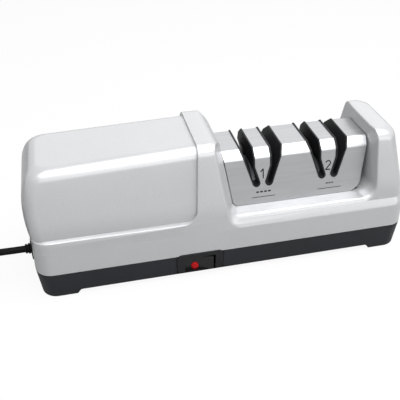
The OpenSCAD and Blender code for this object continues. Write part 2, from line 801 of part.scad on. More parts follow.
// A slot that leans away from its stage's middle on side s, narrower by t on each wall
module slot_shape(x, s, t)
    translate([x, 0])
        mirror([s > 0 ? 1 : 0, 0]) {
            polygon([[-slot_top_in - t, guide_z + 8], [-slot_top_in - t, slot_bend_z],
                [-slot_low_x + slot_r * cos(slot_lean) - t, slot_low_z + slot_r * sin(slot_lean)],
                [-slot_low_x - slot_r * cos(slot_lean) + t, slot_low_z - slot_r * sin(slot_lean)],
                [-slot_top_out + t, guide_z], [-slot_top_out + t, guide_z + 8]]);
            translate([-slot_low_x, slot_low_z])
                circle(r = slot_r - t);
        }

module slot_pair(x, t)
    along_y(half_w)
        for (s = [-1, 1])
            slot_shape(x, s, t);

module guide_cover() color(steel)
    difference() {
        intersection() {
            difference() {
                under_sheet(-10, 110, 0, sill_z + 0.05);
                under_sheet(-12, 112, sheet_t, sill_z - 5);
            }
            along_y(half_w)
                polygon(trough_outline(-seat, guide_z + 5));
        }
        slot_pair(stage_1_x, -0.1);
        slot_pair(stage_2_x, -0.1);
    }

// Moulded guide under the steel: a hood, and a lining that stands in each slot
module knife_guide(x) color(black)
    difference() {
        union() {
            difference() {
                under_sheet(x - hood_half, x + hood_half, sheet_t + seat, hood_foot_z);
                under_sheet(x - hood_half + hood_t, x + hood_half - hood_t, sheet_t + seat + hood_t,
                    hood_foot_z - 3);
                under_sheet(x - hood_half - cut, x + hood_half + cut, sheet_t + seat + hood_t,
                    hood_foot_z - 3);
            }
            intersection() {
                under_sheet(x - hood_half, x + hood_half, -lining_proud, hood_foot_z);
                slot_pair(x, 0);
            }
        }
        slot_pair(x, lining_t);
        block([x - hood_half - cut, -half_w, hood_foot_z - 12],
            [x + hood_half + cut, half_w, hood_foot_z + 0.01]);
        // Room for the two discs
        rod(x - disc_face - disc_room, x + disc_face + disc_room, disc_r + disc_room);
    }

module knife_guide_1() knife_guide(stage_1_x);
module knife_guide_2() knife_guide(stage_2_x);

// ---- Grinding unit ----

// A disc on side s of the stage at x
module disc(x, s) color("#8d8f94")
    translate([x, 0, 0])
        mirror([s > 0 ? 1 : 0, 0, 0])
            difference() {
                rod(-disc_face, -disc_face + disc_t, disc_r);
                rod(-disc_face - cut, cut, hub_r - 1.5 + fit);
            }

// The hub that carries a disc: it slides on the shaft and is turned by a drive pin
module hub(x, s) color("#d8d4c8")
    translate([x, 0, 0])
        mirror([s > 0 ? 1 : 0, 0, 0])
            difference() {
                union() {
                    rod(-hub_end, -disc_face - 0.02, hub_r);
                    rod(-hub_end, -disc_face + disc_t + 0.4, hub_r - 1.5);
                }
                rod(-hub_end - cut, cut, shaft_r + fit);
                // Notch for the drive pin
                block([-hub_end - cut, -pin_r - 0.1, axis_z - hub_r - cut],
                    [-pin_x + pin_r + fit, pin_r + 0.1, axis_z + hub_r + cut]);
            }

module disc_1_left() disc(stage_1_x, -1);
module disc_1_right() disc(stage_1_x, 1);
module disc_2_left() disc(stage_2_x, -1);
module disc_2_right() disc(stage_2_x, 1);
module hub_1_left() hub(stage_1_x, -1);
module hub_1_right() hub(stage_1_x, 1);
module hub_2_left() hub(stage_2_x, -1);
module hub_2_right() hub(stage_2_x, 1);

// Helical spring between the two hubs of a stage
module disc_spring(x) color(steel) {
    half = disc_face - disc_t - 0.4 - spring_wire / 2 - 0.1;
    path = [for (i = [0:12 * spring_coils]) let(a = 30 * i)
        [x - half + 2 * half * i / (12 * spring_coils), (spring_r) * cos(a), axis_z + spring_r * sin(a)]];
    n = len(path) - 1;
    rings = [for (i = [0:n]) let(a = 30 * i, radial = [0, cos(a), sin(a)])
        [for (k = [0:5]) path[i] + spring_wire / 2 * (cos(60 * k) * radial + sin(60 * k) * [1, 0, 0])]];
    skin([for (i = [0:n]) rings[n - i]]);
}

module disc_spring_1() disc_spring(stage_1_x);
module disc_spring_2() disc_spring(stage_2_x);

module drive_pins() color(steel)
    for (x = [stage_1_x, stage_2_x], s = [-1, 1])
        for (half = [-1, 1])
            translate([x + s * pin_x, 0, axis_z + (half > 0 ? shaft_r + 0.02 : -pin_l / 2)])
                cylinder(r = pin_r, h = pin_l / 2 - shaft_r - 0.02);

module grinding_shaft() color(steel)
    rod(shaft_x0, shaft_x1, shaft_r);

module shaft_bushings() color(brass)
    for (x = [left_bracket_x, right_bracket_x])
        pipe(x - bushing_l / 2, x + bushing_l / 2, bushing_r, shaft_r + fit);

module bearing_bracket(x) color("lightgray")
    difference() {
        union() {
            block([x - bracket_t / 2, -bracket_half, floor_z + seat], [x + bracket_t / 2, bracket_half,
                axis_z]);
            rod(x - bracket_t / 2, x + bracket_t / 2, bracket_top - axis_z);
            block([x - bracket_foot, -bracket_half - 9, floor_z + seat],
                [x + bracket_foot, bracket_half + 9, floor_z + seat + 2]);
        }
        rod(x - 9, x + 9, bushing_r + 0.02);
        for (y = [-bracket_half - 5, bracket_half + 5])
            translate([x, y, floor_z])
                cylinder(r = screw_r + 0.1, h = 5);
    }

module bearing_bracket_left() bearing_bracket(left_bracket_x);
module bearing_bracket_right() bearing_bracket(right_bracket_x);

module bracket_screws() color(steel)
    for (x = [left_bracket_x, right_bracket_x], y = [-bracket_half - 5, bracket_half + 5])
        translate([x, y, floor_z + seat]) {
            translate([0, 0, 2.05])
                cylinder(r = head_r, h = head_h);
            cylinder(r = screw_r, h = 2.1);
        }

// ---- Motor ----

module motor_can() color("#9aa0a6")
    difference() {
        union() {
            pipe(can_x0, can_x, can_r, can_r - can_t);
            rod(can_x - can_t, can_x, can_r);
        }
        rod(can_x - 6, can_x + cut, bearing_r + 0.02);
        for (a = [0:60:300])
            translate([can_x - 3, 15 * cos(a), axis_z + 15 * sin(a)])
                rotate([0, 90, 0])
                    cylinder(r = 3, h = 5);
    }

module motor_end_cap() color("#3c3f45")
    difference() {
        union() {
            rod(can_x0 - cap_l, can_x0 - 0.02, can_r);
            rod(can_x0 - cap_l - 2, can_x0, bearing_r + 3);
        }
        rod(can_x0 - cap_l + 2, can_x0 + cut, can_r - 3);
        rod(can_x0 - cap_l - 9, can_x0 + cut, bearing_r + 0.02);
    }

module motor_magnets() color("#55585c")
    for (a = [0, 180])
        intersection() {
            pipe(armature_x0 - 2, armature_x0 + armature_l + 2,
                can_r - can_t - 0.02, can_r - can_t - magnet_t);
            translate([armature_x0 - 3, 0, axis_z])
                rotate([a, 0, 0])
                    translate([0, -can_r, can_r * 0.32])
                        cube([armature_l + 6, 2 * can_r, can_r]);
        }

module motor_bearings() color(brass)
    for (x = [can_x - bearing_l + 1, can_x0 - cap_l - 2])
        pipe(x, x + bearing_l, bearing_r, motor_shaft_r + fit);

module motor_brushes() color("#303030")
    for (s = [-1, 1])
        block([can_x0 - cap_l + 2.3, s > 0 ? commutator_r + seat : -can_r + 3.2, axis_z - 2.5],
            [can_x0 - cap_l + 7.3, s > 0 ? can_r - 3.2 : -commutator_r - seat, axis_z + 2.5]);

module motor_cradle() color(dark)
    difference() {
        union() {
            for (x = [cradle_x0, cradle_x1 - 5])
                block([x, -can_r + 3, floor_z + seat], [x + 5, can_r - 3, axis_z - 10]);
            block([cradle_x0, -can_r - strap_ear, floor_z + seat], [cradle_x1, can_r + strap_ear,
                floor_z + seat + foot_plate]);
            for (y = [-can_r - strap_ear / 2 - 0.2, can_r + strap_ear / 2 + 0.2])
                translate([strap_x, y, floor_z + seat])
                    cylinder(r = strap_ear / 2 - 0.4, h = axis_z - 4 - floor_z);
        }
        rod(cradle_x0 - cut, cradle_x1 + cut, can_r + 0.05);
        for (y = [-can_r - strap_ear / 2 - 0.2, can_r + strap_ear / 2 + 0.2])
            translate([strap_x, y, axis_z - 14])
                cylinder(r = screw_r + 0.1, h = 20);
    }

module motor_strap() color(steel)
    difference() {
        union() {
            intersection() {
                pipe(strap_x - strap_w / 2, strap_x + strap_w / 2, can_r + 0.05 + strap_t, can_r + 0.05);
                block([strap_x - strap_w, -half_w, axis_z - 4 + seat], [strap_x + strap_w, half_w,
                    axis_z + can_r + 5]);
            }
            for (s = [-1, 1])
                block([strap_x - 4, s > 0 ? can_r + 0.5 : -can_r - strap_ear, axis_z - 4 + seat],
                    [strap_x + 4, s > 0 ? can_r + strap_ear : -can_r - 0.5, axis_z - 4 + seat + strap_t]);
        }
        rod(strap_x - strap_w, strap_x + strap_w, can_r + 0.05);
        for (y = [-can_r - strap_ear / 2 - 0.2, can_r + strap_ear / 2 + 0.2])
            translate([strap_x, y, axis_z - 5])
                cylinder(r = screw_r + 0.1, h = 5);
    }

module strap_screws() color(steel)
    for (y = [-can_r - strap_ear / 2 - 0.2, can_r + strap_ear / 2 + 0.2])
        translate([strap_x, y, axis_z - 4 + seat + strap_t + 0.02]) {
            cylinder(r = head_r, h = head_h);
            translate([0, 0, -8])
                cylinder(r = screw_r, h = 8);
        }

module armature() color("#6b6e73")
    difference() {
        rod(armature_x0, armature_x0 + armature_l, armature_r);
        rod(armature_x0 - cut, armature_x0 + armature_l + cut, motor_shaft_r + 0.02);
        for (a = [0:30:330])
            rotate_about_axis(a)
                block([armature_x0 - cut, -0.8, axis_z + armature_r - 6],
                    [armature_x0 + armature_l + cut, 0.8, axis_z + armature_r + cut]);
    }

module rotate_about_axis(a)
    translate([0, 0, axis_z])
        rotate([a, 0, 0])
            translate([0, 0, -axis_z])
                children();

module armature_windings() color(copper)
    for (x = [armature_x0 - 5.02, armature_x0 + armature_l + 0.02])
        pipe(x, x + 5, armature_r - 2, motor_shaft_r + 1.5);

module commutator() color(copper)
    difference() {
        pipe(armature_x0 - 5.1 - commutator_l, armature_x0 - 5.1, commutator_r, motor_shaft_r + 0.02);
        for (a = [0:30:330])
            rotate_about_axis(a)
                block([armature_x0 - 6 - commutator_l, -0.2, axis_z + commutator_r - 0.6],
                    [armature_x0 - 4, 0.2, axis_z + commutator_r + cut]);
    }

module motor_shaft() color(steel)
    rod(can_x0 - cap_l - 3.5, coupling_x0 + 8, motor_shaft_r);

module cooling_fan() color("#dcdcd4")
    difference() {
        union() {
            rod(fan_x, fan_x + fan_w, bearing_r);
            rod(fan_x + fan_w - 1.2, fan_x + fan_w, fan_r);
            for (a = [0:45:315])
                rotate_about_axis(a)
                    block([fan_x, -0.6, axis_z + bearing_r - 1], [fan_x + fan_w, 0.6, axis_z + fan_r]);
        }
        rod(fan_x - cut, fan_x + fan_w + cut, motor_shaft_r + 0.02);
    }

module shaft_coupling() color("#b8bcc0")
    difference() {
        rod(coupling_x0, coupling_x1, coupling_r);
        rod(coupling_x0 - cut, shaft_x0 + cut, motor_shaft_r + 0.02);
        rod(shaft_x0 - 0.3, coupling_x1 + cut, shaft_r + 0.02);
        for (x = [coupling_x0 + 4, coupling_x1 - 4])
            translate([x, 0, axis_z])
                cylinder(r = screw_r + 0.1, h = coupling_r + cut);
    }

module coupling_screws() color("#2b2b2b") {
    translate([coupling_x0 + 4, 0, axis_z + motor_shaft_r + 0.05])
        cylinder(r = screw_r, h = coupling_r - motor_shaft_r - 0.6);
    translate([coupling_x1 - 4, 0, axis_z + shaft_r + 0.05])
        cylinder(r = screw_r, h = coupling_r - shaft_r - 0.6);
}

// ---- Wiring and cord ----

block_x = -half_l + 10; // left end of the terminal block
block_y = -8;
block_l = 12;
block_w = 16;
block_h = 9;

module terminal_block() color("#e8e6dc")
    difference() {
        block([block_x, block_y, floor_z + seat],
            [block_x + block_l, block_y + block_w, floor_z + seat + block_h]);
        for (y = [4, 12])
            translate([block_x + block_l / 2, block_y + y, floor_z + seat + block_h - 3])
                cylinder(r = 1.6, h = 4);
    }

// Leads inside the housing: from the strain relief to the terminal block, and on to the switch
lead_r = 1;
feed_route = [[6.8, -15.5, 24], [10, -14.6, 23.6], [13, -11, 21], [15.5, -7, 18], [17, -4.8, 16.8]];
feed_spread = [3, 3.4, 5.4, 7.4, 8.4]; // distance between the two leads at each point
block_route = [[0.6, 4], [5, 2], [9, -6], [13, -12.6]]; // from the block's right front corner
bezel_route = [[-25.4, 19.4], [-17.4, 24], [-10.4, 26.5], [-5.4, 26.5]]; // from the bezel's face
switch_route = concat(
    [for (p = block_route) [block_x + block_l + p[0], block_y + p[1]]],
    [for (x = [cradle_x0 + 2, strap_x - 4, strap_x + 7, cradle_x1]) [x, -can_r + 1.2]],
    [for (p = bezel_route) [switch_x + p[0], bezel_y + p[1]]]);
switch_route_z = 10.8;
module inner_leads() color("saddlebrown")
    for (k = [0, 1]) {
        tube([for (i = [0:len(feed_route) - 1]) feed_route[i] + [-half_l, feed_spread[i] * k, 0]], lead_r, 6);
        tube([for (p = switch_route) [p[0], p[1], switch_route_z + 3 * lead_r * k]], lead_r, 6);
    }

// Flange and grommet that hold the cord in the housing's end
module strain_relief() color(black) {
    translate([-half_l - flange_t - seat, exit_y, exit_z])
        rotate([90, 0, 90])
            linear_extrude(flange_t)
                polygon(round_rect(-flange_w / 2, flange_w / 2, -flange_h / 2, flange_h / 2, 3));
    rod(-half_l - flange_t, -half_l + wall + 4, flange_w / 2 - seat, exit_y, exit_z);
    translate([-cord_x, exit_y, exit_z])
        rotate([0, 90, 0])
            cylinder(r1 = cord_d / 2 + 0.7, r2 = cord_d / 2 + 1.6, h = nub_l);
}

// Free stretch from the strain relief to the coil
module power_cord() color(black)
    tube(concat(
        [for (p = lead_route) [-cord_x - p[0], exit_y, exit_z + p[1]]],
        [[-cord_x - lead_end + 2, exit_y, coil_z], [-cord_x - lead_end, exit_y, coil_z]]),
        cord_d / 2, 8);

// Radius and height of the coil after u turns: in, a climbing half turn, and out again
function coil_radius(u) =
    u < coil_turns ? coil_r + coil_pitch * (coil_turns - u)
    : u < coil_turns + 0.5 ? coil_r - 0.7 * sin(360 * (u - coil_turns))
    : coil_r + coil_pitch * (u - coil_turns - 0.5);
function coil_height(u) =
    coil_z + coil_pitch * min(1, max(0, 2 * (u - coil_turns)));
coil_total = 2 * coil_turns + 0.5;
coil_path = concat(
    [[coil_x + cord_d, exit_y, coil_z]],
    [for (i = [0:ring_count * coil_total]) let(u = i / ring_count, a = -90 - 360 * u)
        [coil_x + coil_radius(u) * cos(a), coil_y + coil_radius(u) * sin(a), coil_height(u)]],
    [[coil_x - cord_d, exit_y, coil_top_z]]);
coil_gap = min([for (i = [0:len(coil_path) - 1], j = [i + ring_count / 2:1:len(coil_path) - 1])
    norm(coil_path[i] - coil_path[j]) - cord_d]);
echo(coil_least_gap = coil_gap);

module cord_coil() color(black)
    tube(coil_path, cord_d / 2, coil_sides);

module cord_tail() color(black)
    tube([for (k = [0, 0.2, 0.45, 0.7, 0.9, 1])
        [coil_x - cord_d - tail_l * k, exit_y,
            coil_top_z + (plug_z - coil_top_z) * (k < 0.3 ? 0 : k > 0.8 ? 1 : k)]],
        cord_d / 2, 8);

// Flat plug with two round pins, and its boot
module mains_plug() color(black) {
    translate([plug_x - boot_l, plug_y, plug_z])
        rotate([0, 90, 0])
            cylinder(r1 = cord_d / 2 + 2.2, r2 = cord_d / 2 + 0.9, h = boot_l);
    translate([plug_x - boot_l - plug_l, 0, plug_z])
        rotate([90, 0, 90])
            linear_extrude(plug_l)
                polygon(round_rect(plug_y - plug_w / 2, plug_y + plug_w / 2, -plug_t / 2, plug_t / 2, 5));
}

module plug_pins() color(brass)
    for (y = [-plug_pin_gap / 2, plug_pin_gap / 2])
        rod(plug_x - boot_l - plug_l - plug_pin_l, plug_x - boot_l - plug_l, plug_pin_r, plug_y + y, plug_z);

housing();
base_tray();
guide_cover();
knife_guide_1();
knife_guide_2();
rubber_feet();
base_screws();
cleanout_cover();
cleanout_screws();
switch_bezel();
switch_body();
switch_terminals();
rocker();
rocker_lens();
motor_can();
motor_end_cap();
motor_magnets();
motor_bearings();
motor_brushes();
motor_cradle();
motor_strap();
strap_screws();
armature();
armature_windings();
commutator();
motor_shaft();
cooling_fan();
shaft_coupling();
coupling_screws();
grinding_shaft();
drive_pins();
disc_1_left();
disc_1_right();
disc_2_left();
disc_2_right();
hub_1_left();
hub_1_right();
hub_2_left();
hub_2_right();
disc_spring_1();
disc_spring_2();
shaft_bushings();
bearing_bracket_left();
bearing_bracket_right();
bracket_screws();
terminal_block();
inner_leads();
strain_relief();
power_cord();
cord_coil();
cord_tail();
mains_plug();
plug_pins();
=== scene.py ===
"""Looks of a two-stage electric knife sharpener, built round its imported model.

Everything is worked out in millimetres and put into meshes in metres. X runs along the body, the
front faces -Y and Z is up. The housing, the base tray, the steel guide cover, the switch, the
springs and the cord are surfaces made here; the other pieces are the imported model's own, with new
finishes.
"""

import json
import logging
import math
from dataclasses import dataclass
from enum import Enum
from typing import Callable, Sequence

import bpy
import numpy as np
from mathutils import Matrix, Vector

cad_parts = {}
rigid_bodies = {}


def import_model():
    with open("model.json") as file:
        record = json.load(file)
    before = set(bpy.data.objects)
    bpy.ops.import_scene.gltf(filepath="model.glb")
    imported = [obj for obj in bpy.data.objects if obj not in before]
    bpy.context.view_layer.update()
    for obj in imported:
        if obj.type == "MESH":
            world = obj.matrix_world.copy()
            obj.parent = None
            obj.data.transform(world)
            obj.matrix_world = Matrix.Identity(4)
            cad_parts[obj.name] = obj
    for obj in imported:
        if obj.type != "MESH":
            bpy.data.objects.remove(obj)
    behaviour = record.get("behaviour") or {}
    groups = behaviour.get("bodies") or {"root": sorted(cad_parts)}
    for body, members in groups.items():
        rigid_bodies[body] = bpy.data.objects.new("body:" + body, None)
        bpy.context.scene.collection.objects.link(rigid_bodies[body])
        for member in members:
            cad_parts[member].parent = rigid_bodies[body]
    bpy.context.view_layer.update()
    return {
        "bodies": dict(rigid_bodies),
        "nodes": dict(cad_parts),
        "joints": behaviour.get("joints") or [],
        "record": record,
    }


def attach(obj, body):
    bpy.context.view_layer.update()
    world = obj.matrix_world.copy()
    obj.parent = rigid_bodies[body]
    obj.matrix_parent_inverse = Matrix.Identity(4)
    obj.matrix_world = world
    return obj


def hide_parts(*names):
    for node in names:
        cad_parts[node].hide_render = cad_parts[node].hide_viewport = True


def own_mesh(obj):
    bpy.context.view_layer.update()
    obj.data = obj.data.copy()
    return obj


LOG = logging.getLogger("sharpener")
MM = 0.001
HANDLE = 0.5523  # how far along the tangents a quarter arc's cubic handles lie
Array = np.ndarray
Wall = Callable[[np.ndarray, np.ndarray], np.ndarray]
Started = tuple[bpy.types.Material, bpy.types.NodeTree, bpy.types.Node, bpy.types.NodeSocket]


class Cut(Enum):
    """How one closed mesh is joined with another."""

    UNION = "UNION"
    DIFFERENCE = "DIFFERENCE"
    INTERSECT = "INTERSECT"


class Axis(Enum):
    """The axis along which a shape is carried; the value is the coordinate's number."""

    X = 0
    Y = 1
    Z = 2


# ---------------------------------------------------------------- meshes


def mesh_object(name: str, points: Array, faces: Sequence[Sequence[int]]) -> bpy.types.Object:
    """Puts points in millimetres and faces into a new object at the origin.

    Args:
        name: The object's name.
        points: One row of X, Y, Z for each vertex.
        faces: Vertex numbers of each face, anticlockwise from outside.

    Returns:
        The object, linked to the scene.
    """
    mesh = bpy.data.meshes.new(name)
    mesh.from_pydata((np.asarray(points) * MM).tolist(), [], [list(map(int, f)) for f in faces])
    mesh.update()
    item = bpy.data.objects.new(name, mesh)
    bpy.context.scene.collection.objects.link(item)
    return item


def skin(name: str, rings: Array) -> bpy.types.Object:
    """Closed surface over a grid: a function of the ring's number and the place round it.

    Args:
        name: The object's name.
        rings: Array of rings by points by 3. Each ring runs anticlockwise, seen from the end
            towards which the rings are counted. The first and last ring get a face.

    Returns:
        The object.
    """
    count, around = rings.shape[:2]
    k, i = np.meshgrid(np.arange(count - 1), np.arange(around), indexing="ij")
    j = (i + 1) % around
    low, high = k * around, (k + 1) * around
    quads = np.stack([low + i, low + j, high + j, high + i], -1)
    faces = quads.reshape(-1, 4).tolist()
    faces.append(list(range(around - 1, -1, -1)))
    faces.append(list(range((count - 1) * around, count * around)))
    return mesh_object(name, rings.reshape(-1, 3), faces)


def stacked(name: str, plans: Sequence[Array], places: Sequence[float],
            axis: Axis) -> bpy.types.Object:
    """Surface through flat rings: each is a plan that stands at its place along the axis.

    Args:
        name: The object's name.
        plans: For each ring, its points' two other coordinates in the order X, Y, Z.
        places: Place of each ring along the axis.
        axis: The axis that the rings stand across.

    Returns:
        The object.
    """
    rings = [np.insert(np.asarray(plan, float), axis.value, place, axis=1)
             for plan, place in zip(plans, places)]
    return skin(name, np.stack(rings))


def prism(name: str, plan: Array, ends: Sequence[float], axis: Axis) -> bpy.types.Object:
    """Straight prism: the same plan stands at both ends along the axis."""
    return stacked(name, [plan, plan], ends, axis)


def box_mesh(name: str, low: Sequence[float], high: Sequence[float]) -> bpy.types.Object:
    """Box between two corners, used to cut an opening."""
    (x0, y0, z0), (x1, y1, z1) = low, high
    return prism(name, np.array([[x0, y0], [x1, y0], [x1, y1], [x0, y1]]), (z0, z1), Axis.Z)


def lathe(name: str, along: Sequence[float], radius: float | Sequence[float],
          centre: Sequence[float], axis: Axis, sides: int = 48) -> bpy.types.Object:
    """Closed turned shape: at angle a, ring k lies radius[k] (cos a, sin a) from the axis.

    Args:
        name: The object's name.
        along: Place of each ring along the axis, rising.
        radius: Radius of each ring, or one for all of them.
        centre: The axis's two coordinates in turning order, which is Y, Z for an axis along X.
        axis: The axis that the shape is turned about.
        sides: Points in a ring.

    Returns:
        The object.
    """
    along = np.asarray(along, float)[:, None]
    radius = np.broadcast_to(np.asarray(radius, float), (len(along),))[:, None]
    angle = 2 * np.pi * np.arange(sides) / sides
    u = centre[0] + radius * np.cos(angle)
    v = centre[1] + radius * np.sin(angle)
    w = np.broadcast_to(along, u.shape)
    order = {Axis.X: (w, u, v), Axis.Y: (v, w, u), Axis.Z: (u, v, w)}[axis]
    return skin(name, np.stack(order, -1))


def combine(body: bpy.types.Object, tool: bpy.types.Object, way: Cut) -> bpy.types.Object:
    """Joins or cuts one closed mesh with another and removes the tool.

    Args:
        body: The mesh object that is kept.
        tool: The mesh object that is used up.
        way: How they are joined.

    Returns:
        The body, with its new mesh.
    """
    change = body.modifiers.new("cut", "BOOLEAN")
    change.solver = "MANIFOLD"
    change.operation = way.value
    change.object = tool
    view_now = bpy.context.evaluated_depsgraph_get()
    made = bpy.data.meshes.new_from_object(body.evaluated_get(view_now))
    body.modifiers.clear()
    old, old_tool = body.data, tool.data
    body.data = made
    made.name = body.name
    bpy.data.objects.remove(tool)
    for mesh in (old, old_tool):
        bpy.data.meshes.remove(mesh)
    return body


def combine_at(body: bpy.types.Object, way: Cut, spots: Sequence[Sequence[float]],
               along: Sequence[float], radius: float | Sequence[float],
               sides: int = 48) -> bpy.types.Object:
    """Joins or cuts a mesh with the same upright turned shape at several places.

    Args:
        body: The mesh object that is kept.
        way: How they are joined.
        spots: X and Y of each place.
        along: Height of each ring of the turned shape, rising.
        radius: Radius of each ring, or one for all of them.
        sides: Points in a ring.

    Returns:
        The body, with its new mesh.
    """
    for spot in spots:
        body = combine(body, lathe("turned", along, radius, spot, Axis.Z, sides), way)
    return body


def shade(item: bpy.types.Object, angle: float = 32.0) -> bpy.types.Object:
    """Smooth shading, with sharp edges kept crisp.

    Args:
        item: The mesh object.
        angle: Angle in degrees between faces above which an edge is crisp.

    Returns:
        The same object.
    """
    item.data.shade_smooth()
    item.data.set_sharp_from_angle(angle=math.radians(angle))
    return item


def arc(cx: float, cy: float, r: float, start: float, end: float, count: int) -> Array:
    """Points of an arc: centre plus r (cos a, sin a) for a from start to end in degrees."""
    a = np.radians(np.linspace(start, end, count + 1))
    return np.column_stack([cx + r * np.cos(a), cy + r * np.sin(a)])


def round_rect(x0: float, x1: float, y0: float, y1: float, r: float, count: int = 12) -> Array:
    """Rectangle with four quarter arcs for corners, anticlockwise.

    Args:
        x0: Its left side.
        x1: Its right side.
        y0: Its lower side.
        y1: Its upper side.
        r: Radius of the corners.
        count: Steps in each corner.

    Returns:
        One row of two coordinates for each point.
    """
    return np.vstack([
        arc(x1 - r, y0 + r, r, -90, 0, count), arc(x1 - r, y1 - r, r, 0, 90, count),
        arc(x0 + r, y1 - r, r, 90, 180, count), arc(x0 + r, y0 + r, r, 180, 270, count)])


def filleted(corners: Sequence[Sequence[float]], radii: Sequence[float], count: int = 6) -> Array:
    """Open path through corners whose inner corners are arcs that touch both sides.

    For a corner with unit directions p towards the last point and q towards the next, the arc's
    centre lies r / sin(half) along their bisector and it touches r / tan(half) along each.

    Args:
        corners: One pair of coordinates for each corner, with the path's two ends.
        radii: Radius at each inner corner.
        count: Steps in each arc.

    Returns:
        One row of two coordinates for each point.
    """
    c = np.asarray(corners, float)
    pieces = [c[:1]]
    for k, r in zip(range(1, len(c) - 1), radii):
        p = (c[k - 1] - c[k]) / np.linalg.norm(c[k - 1] - c[k])
        q = (c[k + 1] - c[k]) / np.linalg.norm(c[k + 1] - c[k])
        half = math.acos(float(np.clip(p @ q, -1, 1))) / 2
        middle = c[k] + (p + q) / np.linalg.norm(p + q) * r / math.sin(half)
        a, b = c[k] + p * r / math.tan(half) - middle, c[k] + q * r / math.tan(half) - middle
        t = np.linspace(0, 1, count + 1)[:, None]
        swing = math.acos(float(np.clip(a @ b / r**2, -1, 1)))
        turn = np.sin((1 - t) * swing) * a + np.sin(t * swing) * b
        pieces.append(middle + turn / math.sin(swing))
    pieces.append(c[-1:])
    return np.vstack(pieces)


def resampled(path: Array, spacing: float) -> Array:
    """Smooth curve through points at even steps: Catmull-Rom cubics, then even arc length.

    Args:
        path: One row of X, Y, Z for each point that the curve goes through.
        spacing: Length of a step, or a little more.

    Returns:
        One row of X, Y, Z for each step.
    """
    p = np.vstack([2 * path[0] - path[1], path, 2 * path[-1] - path[-2]])
    t = np.linspace(0, 1, 9)[:-1][None, :, None]
    a, b, c, d = (p[k:len(p) - 3 + k, None, :] for k in range(4))
    curve = 0.5 * (2 * b + (c - a) * t + (2 * a - 5 * b + 4 * c - d) * t**2
                   + (3 * b - a - 3 * c + d) * t**3)
    line = np.vstack([curve.reshape(-1, 3), path[-1:]])
    reach = np.concatenate([[0], np.cumsum(np.linalg.norm(np.diff(line, axis=0), axis=1))])
    even = np.linspace(0, reach[-1], int(reach[-1] / spacing) + 1)
    return np.column_stack([np.interp(even, reach, line[:, k]) for k in range(3)])


def tube(name: str, path: Array, radius: float, sides: int) -> bpy.types.Object:
    """Round tube: ring k is path[k] + r (cos a u + sin a v), with u level and v across both.

    Args:
        name: The object's name.
        path: One row of X, Y, Z for each point of the middle line, which is nowhere upright.
        radius: The tube's radius.
        sides: Points in a ring.

    Returns:
        The object.
    """
    way = np.gradient(path, axis=0)
    way /= np.linalg.norm(way, axis=1, keepdims=True)
    level = np.cross(way, [0.0, 0.0, 1.0])
    level /= np.linalg.norm(level, axis=1, keepdims=True)
    rise = np.cross(level, way)
    a = (2 * np.pi * np.arange(sides) / sides)[:, None]
    rings = path[:, None] + radius * (np.cos(a) * level[:, None] + np.sin(a) * rise[:, None])
    return skin(name, rings[:, ::-1])


def rounded_rings(z: Array, x0: Array | float, x1: Array | float, y: Array,
                  rl: Array | float, rr: Array | float) -> Array:
    """Level rings of rounded rectangles, whose four corners are quarter arcs.

    Args:
        z: Height of each ring.
        x0: Left end of each ring.
        x1: Right end of each ring.
        y: Half depth of each ring.
        rl: Radius of its left corners.
        rr: Radius of its right corners.

    Returns:
        Array of rings by points by 3, anticlockwise from above.
    """
    t = np.radians(np.linspace(0, 90, 15))
    z, x0, x1, y, rl, rr = (np.broadcast_to(np.asarray(v, float), np.shape(z))[:, None]
                            for v in (z, x0, x1, y, rl, rr))
    spots = [(x1 - rr, -y + rr, rr, -90), (x1 - rr, y - rr, rr, 0),
             (x0 + rl, y - rl, rl, 90), (x0 + rl, -y + rl, rl, 180)]
    x = np.concatenate([cx + r * np.cos(t + math.radians(a)) for cx, _, r, a in spots], axis=1)
    depth = np.concatenate([cy + r * np.sin(t + math.radians(a)) for _, cy, r, a in spots], axis=1)
    return np.stack([x, depth, np.broadcast_to(z, x.shape)], -1)


def bent(t: Array) -> Array:
    """Smooth step from 0 to 1: 3 t squared less 2 t cubed."""
    t = np.clip(t, 0, 1)
    return t * t * (3 - 2 * t)


def ramp(run: Array, soft: float) -> Array:
    """Nothing below -soft and the run itself above soft, with a parabola that meets both."""
    return np.where(run < -soft, 0, np.where(run < soft, (run + soft)**2 / (4 * soft), run))


def four(x: float, y: float) -> list[tuple[float, float]]:
    """The four places at plus and minus x and y."""
    return [(left * x, front * y) for left in (-1, 1) for front in (-1, 1)]


# ---------------------------------------------------------------- materials


def linear(code: str) -> tuple[float, float, float, float]:
    """Linear colour of an sRGB hex value."""
    values = [int(code[k:k + 2], 16) / 255 for k in (1, 3, 5)]
    return (*[v / 12.92 if v <= 0.04045 else ((v + 0.055) / 1.055)**2.4 for v in values], 1.0)


def add_node(tree: bpy.types.NodeTree, kind: str, links: dict,
             **settings: object) -> bpy.types.Node:
    """Adds a node with its settings and links.

    Args:
        tree: The material's node tree.
        kind: The node's type.
        links: For each input, by name or number, a value or an output socket.
        **settings: Attributes of the node.

    Returns:
        The node.
    """
    node = tree.nodes.new(kind)
    for key, value in settings.items():
        setattr(node, key, value)
    for key, value in links.items():
        socket = node.inputs[key]
        if isinstance(value, bpy.types.NodeSocket):
            tree.links.new(value, socket)
        else:
            socket.default_value = value
    return node


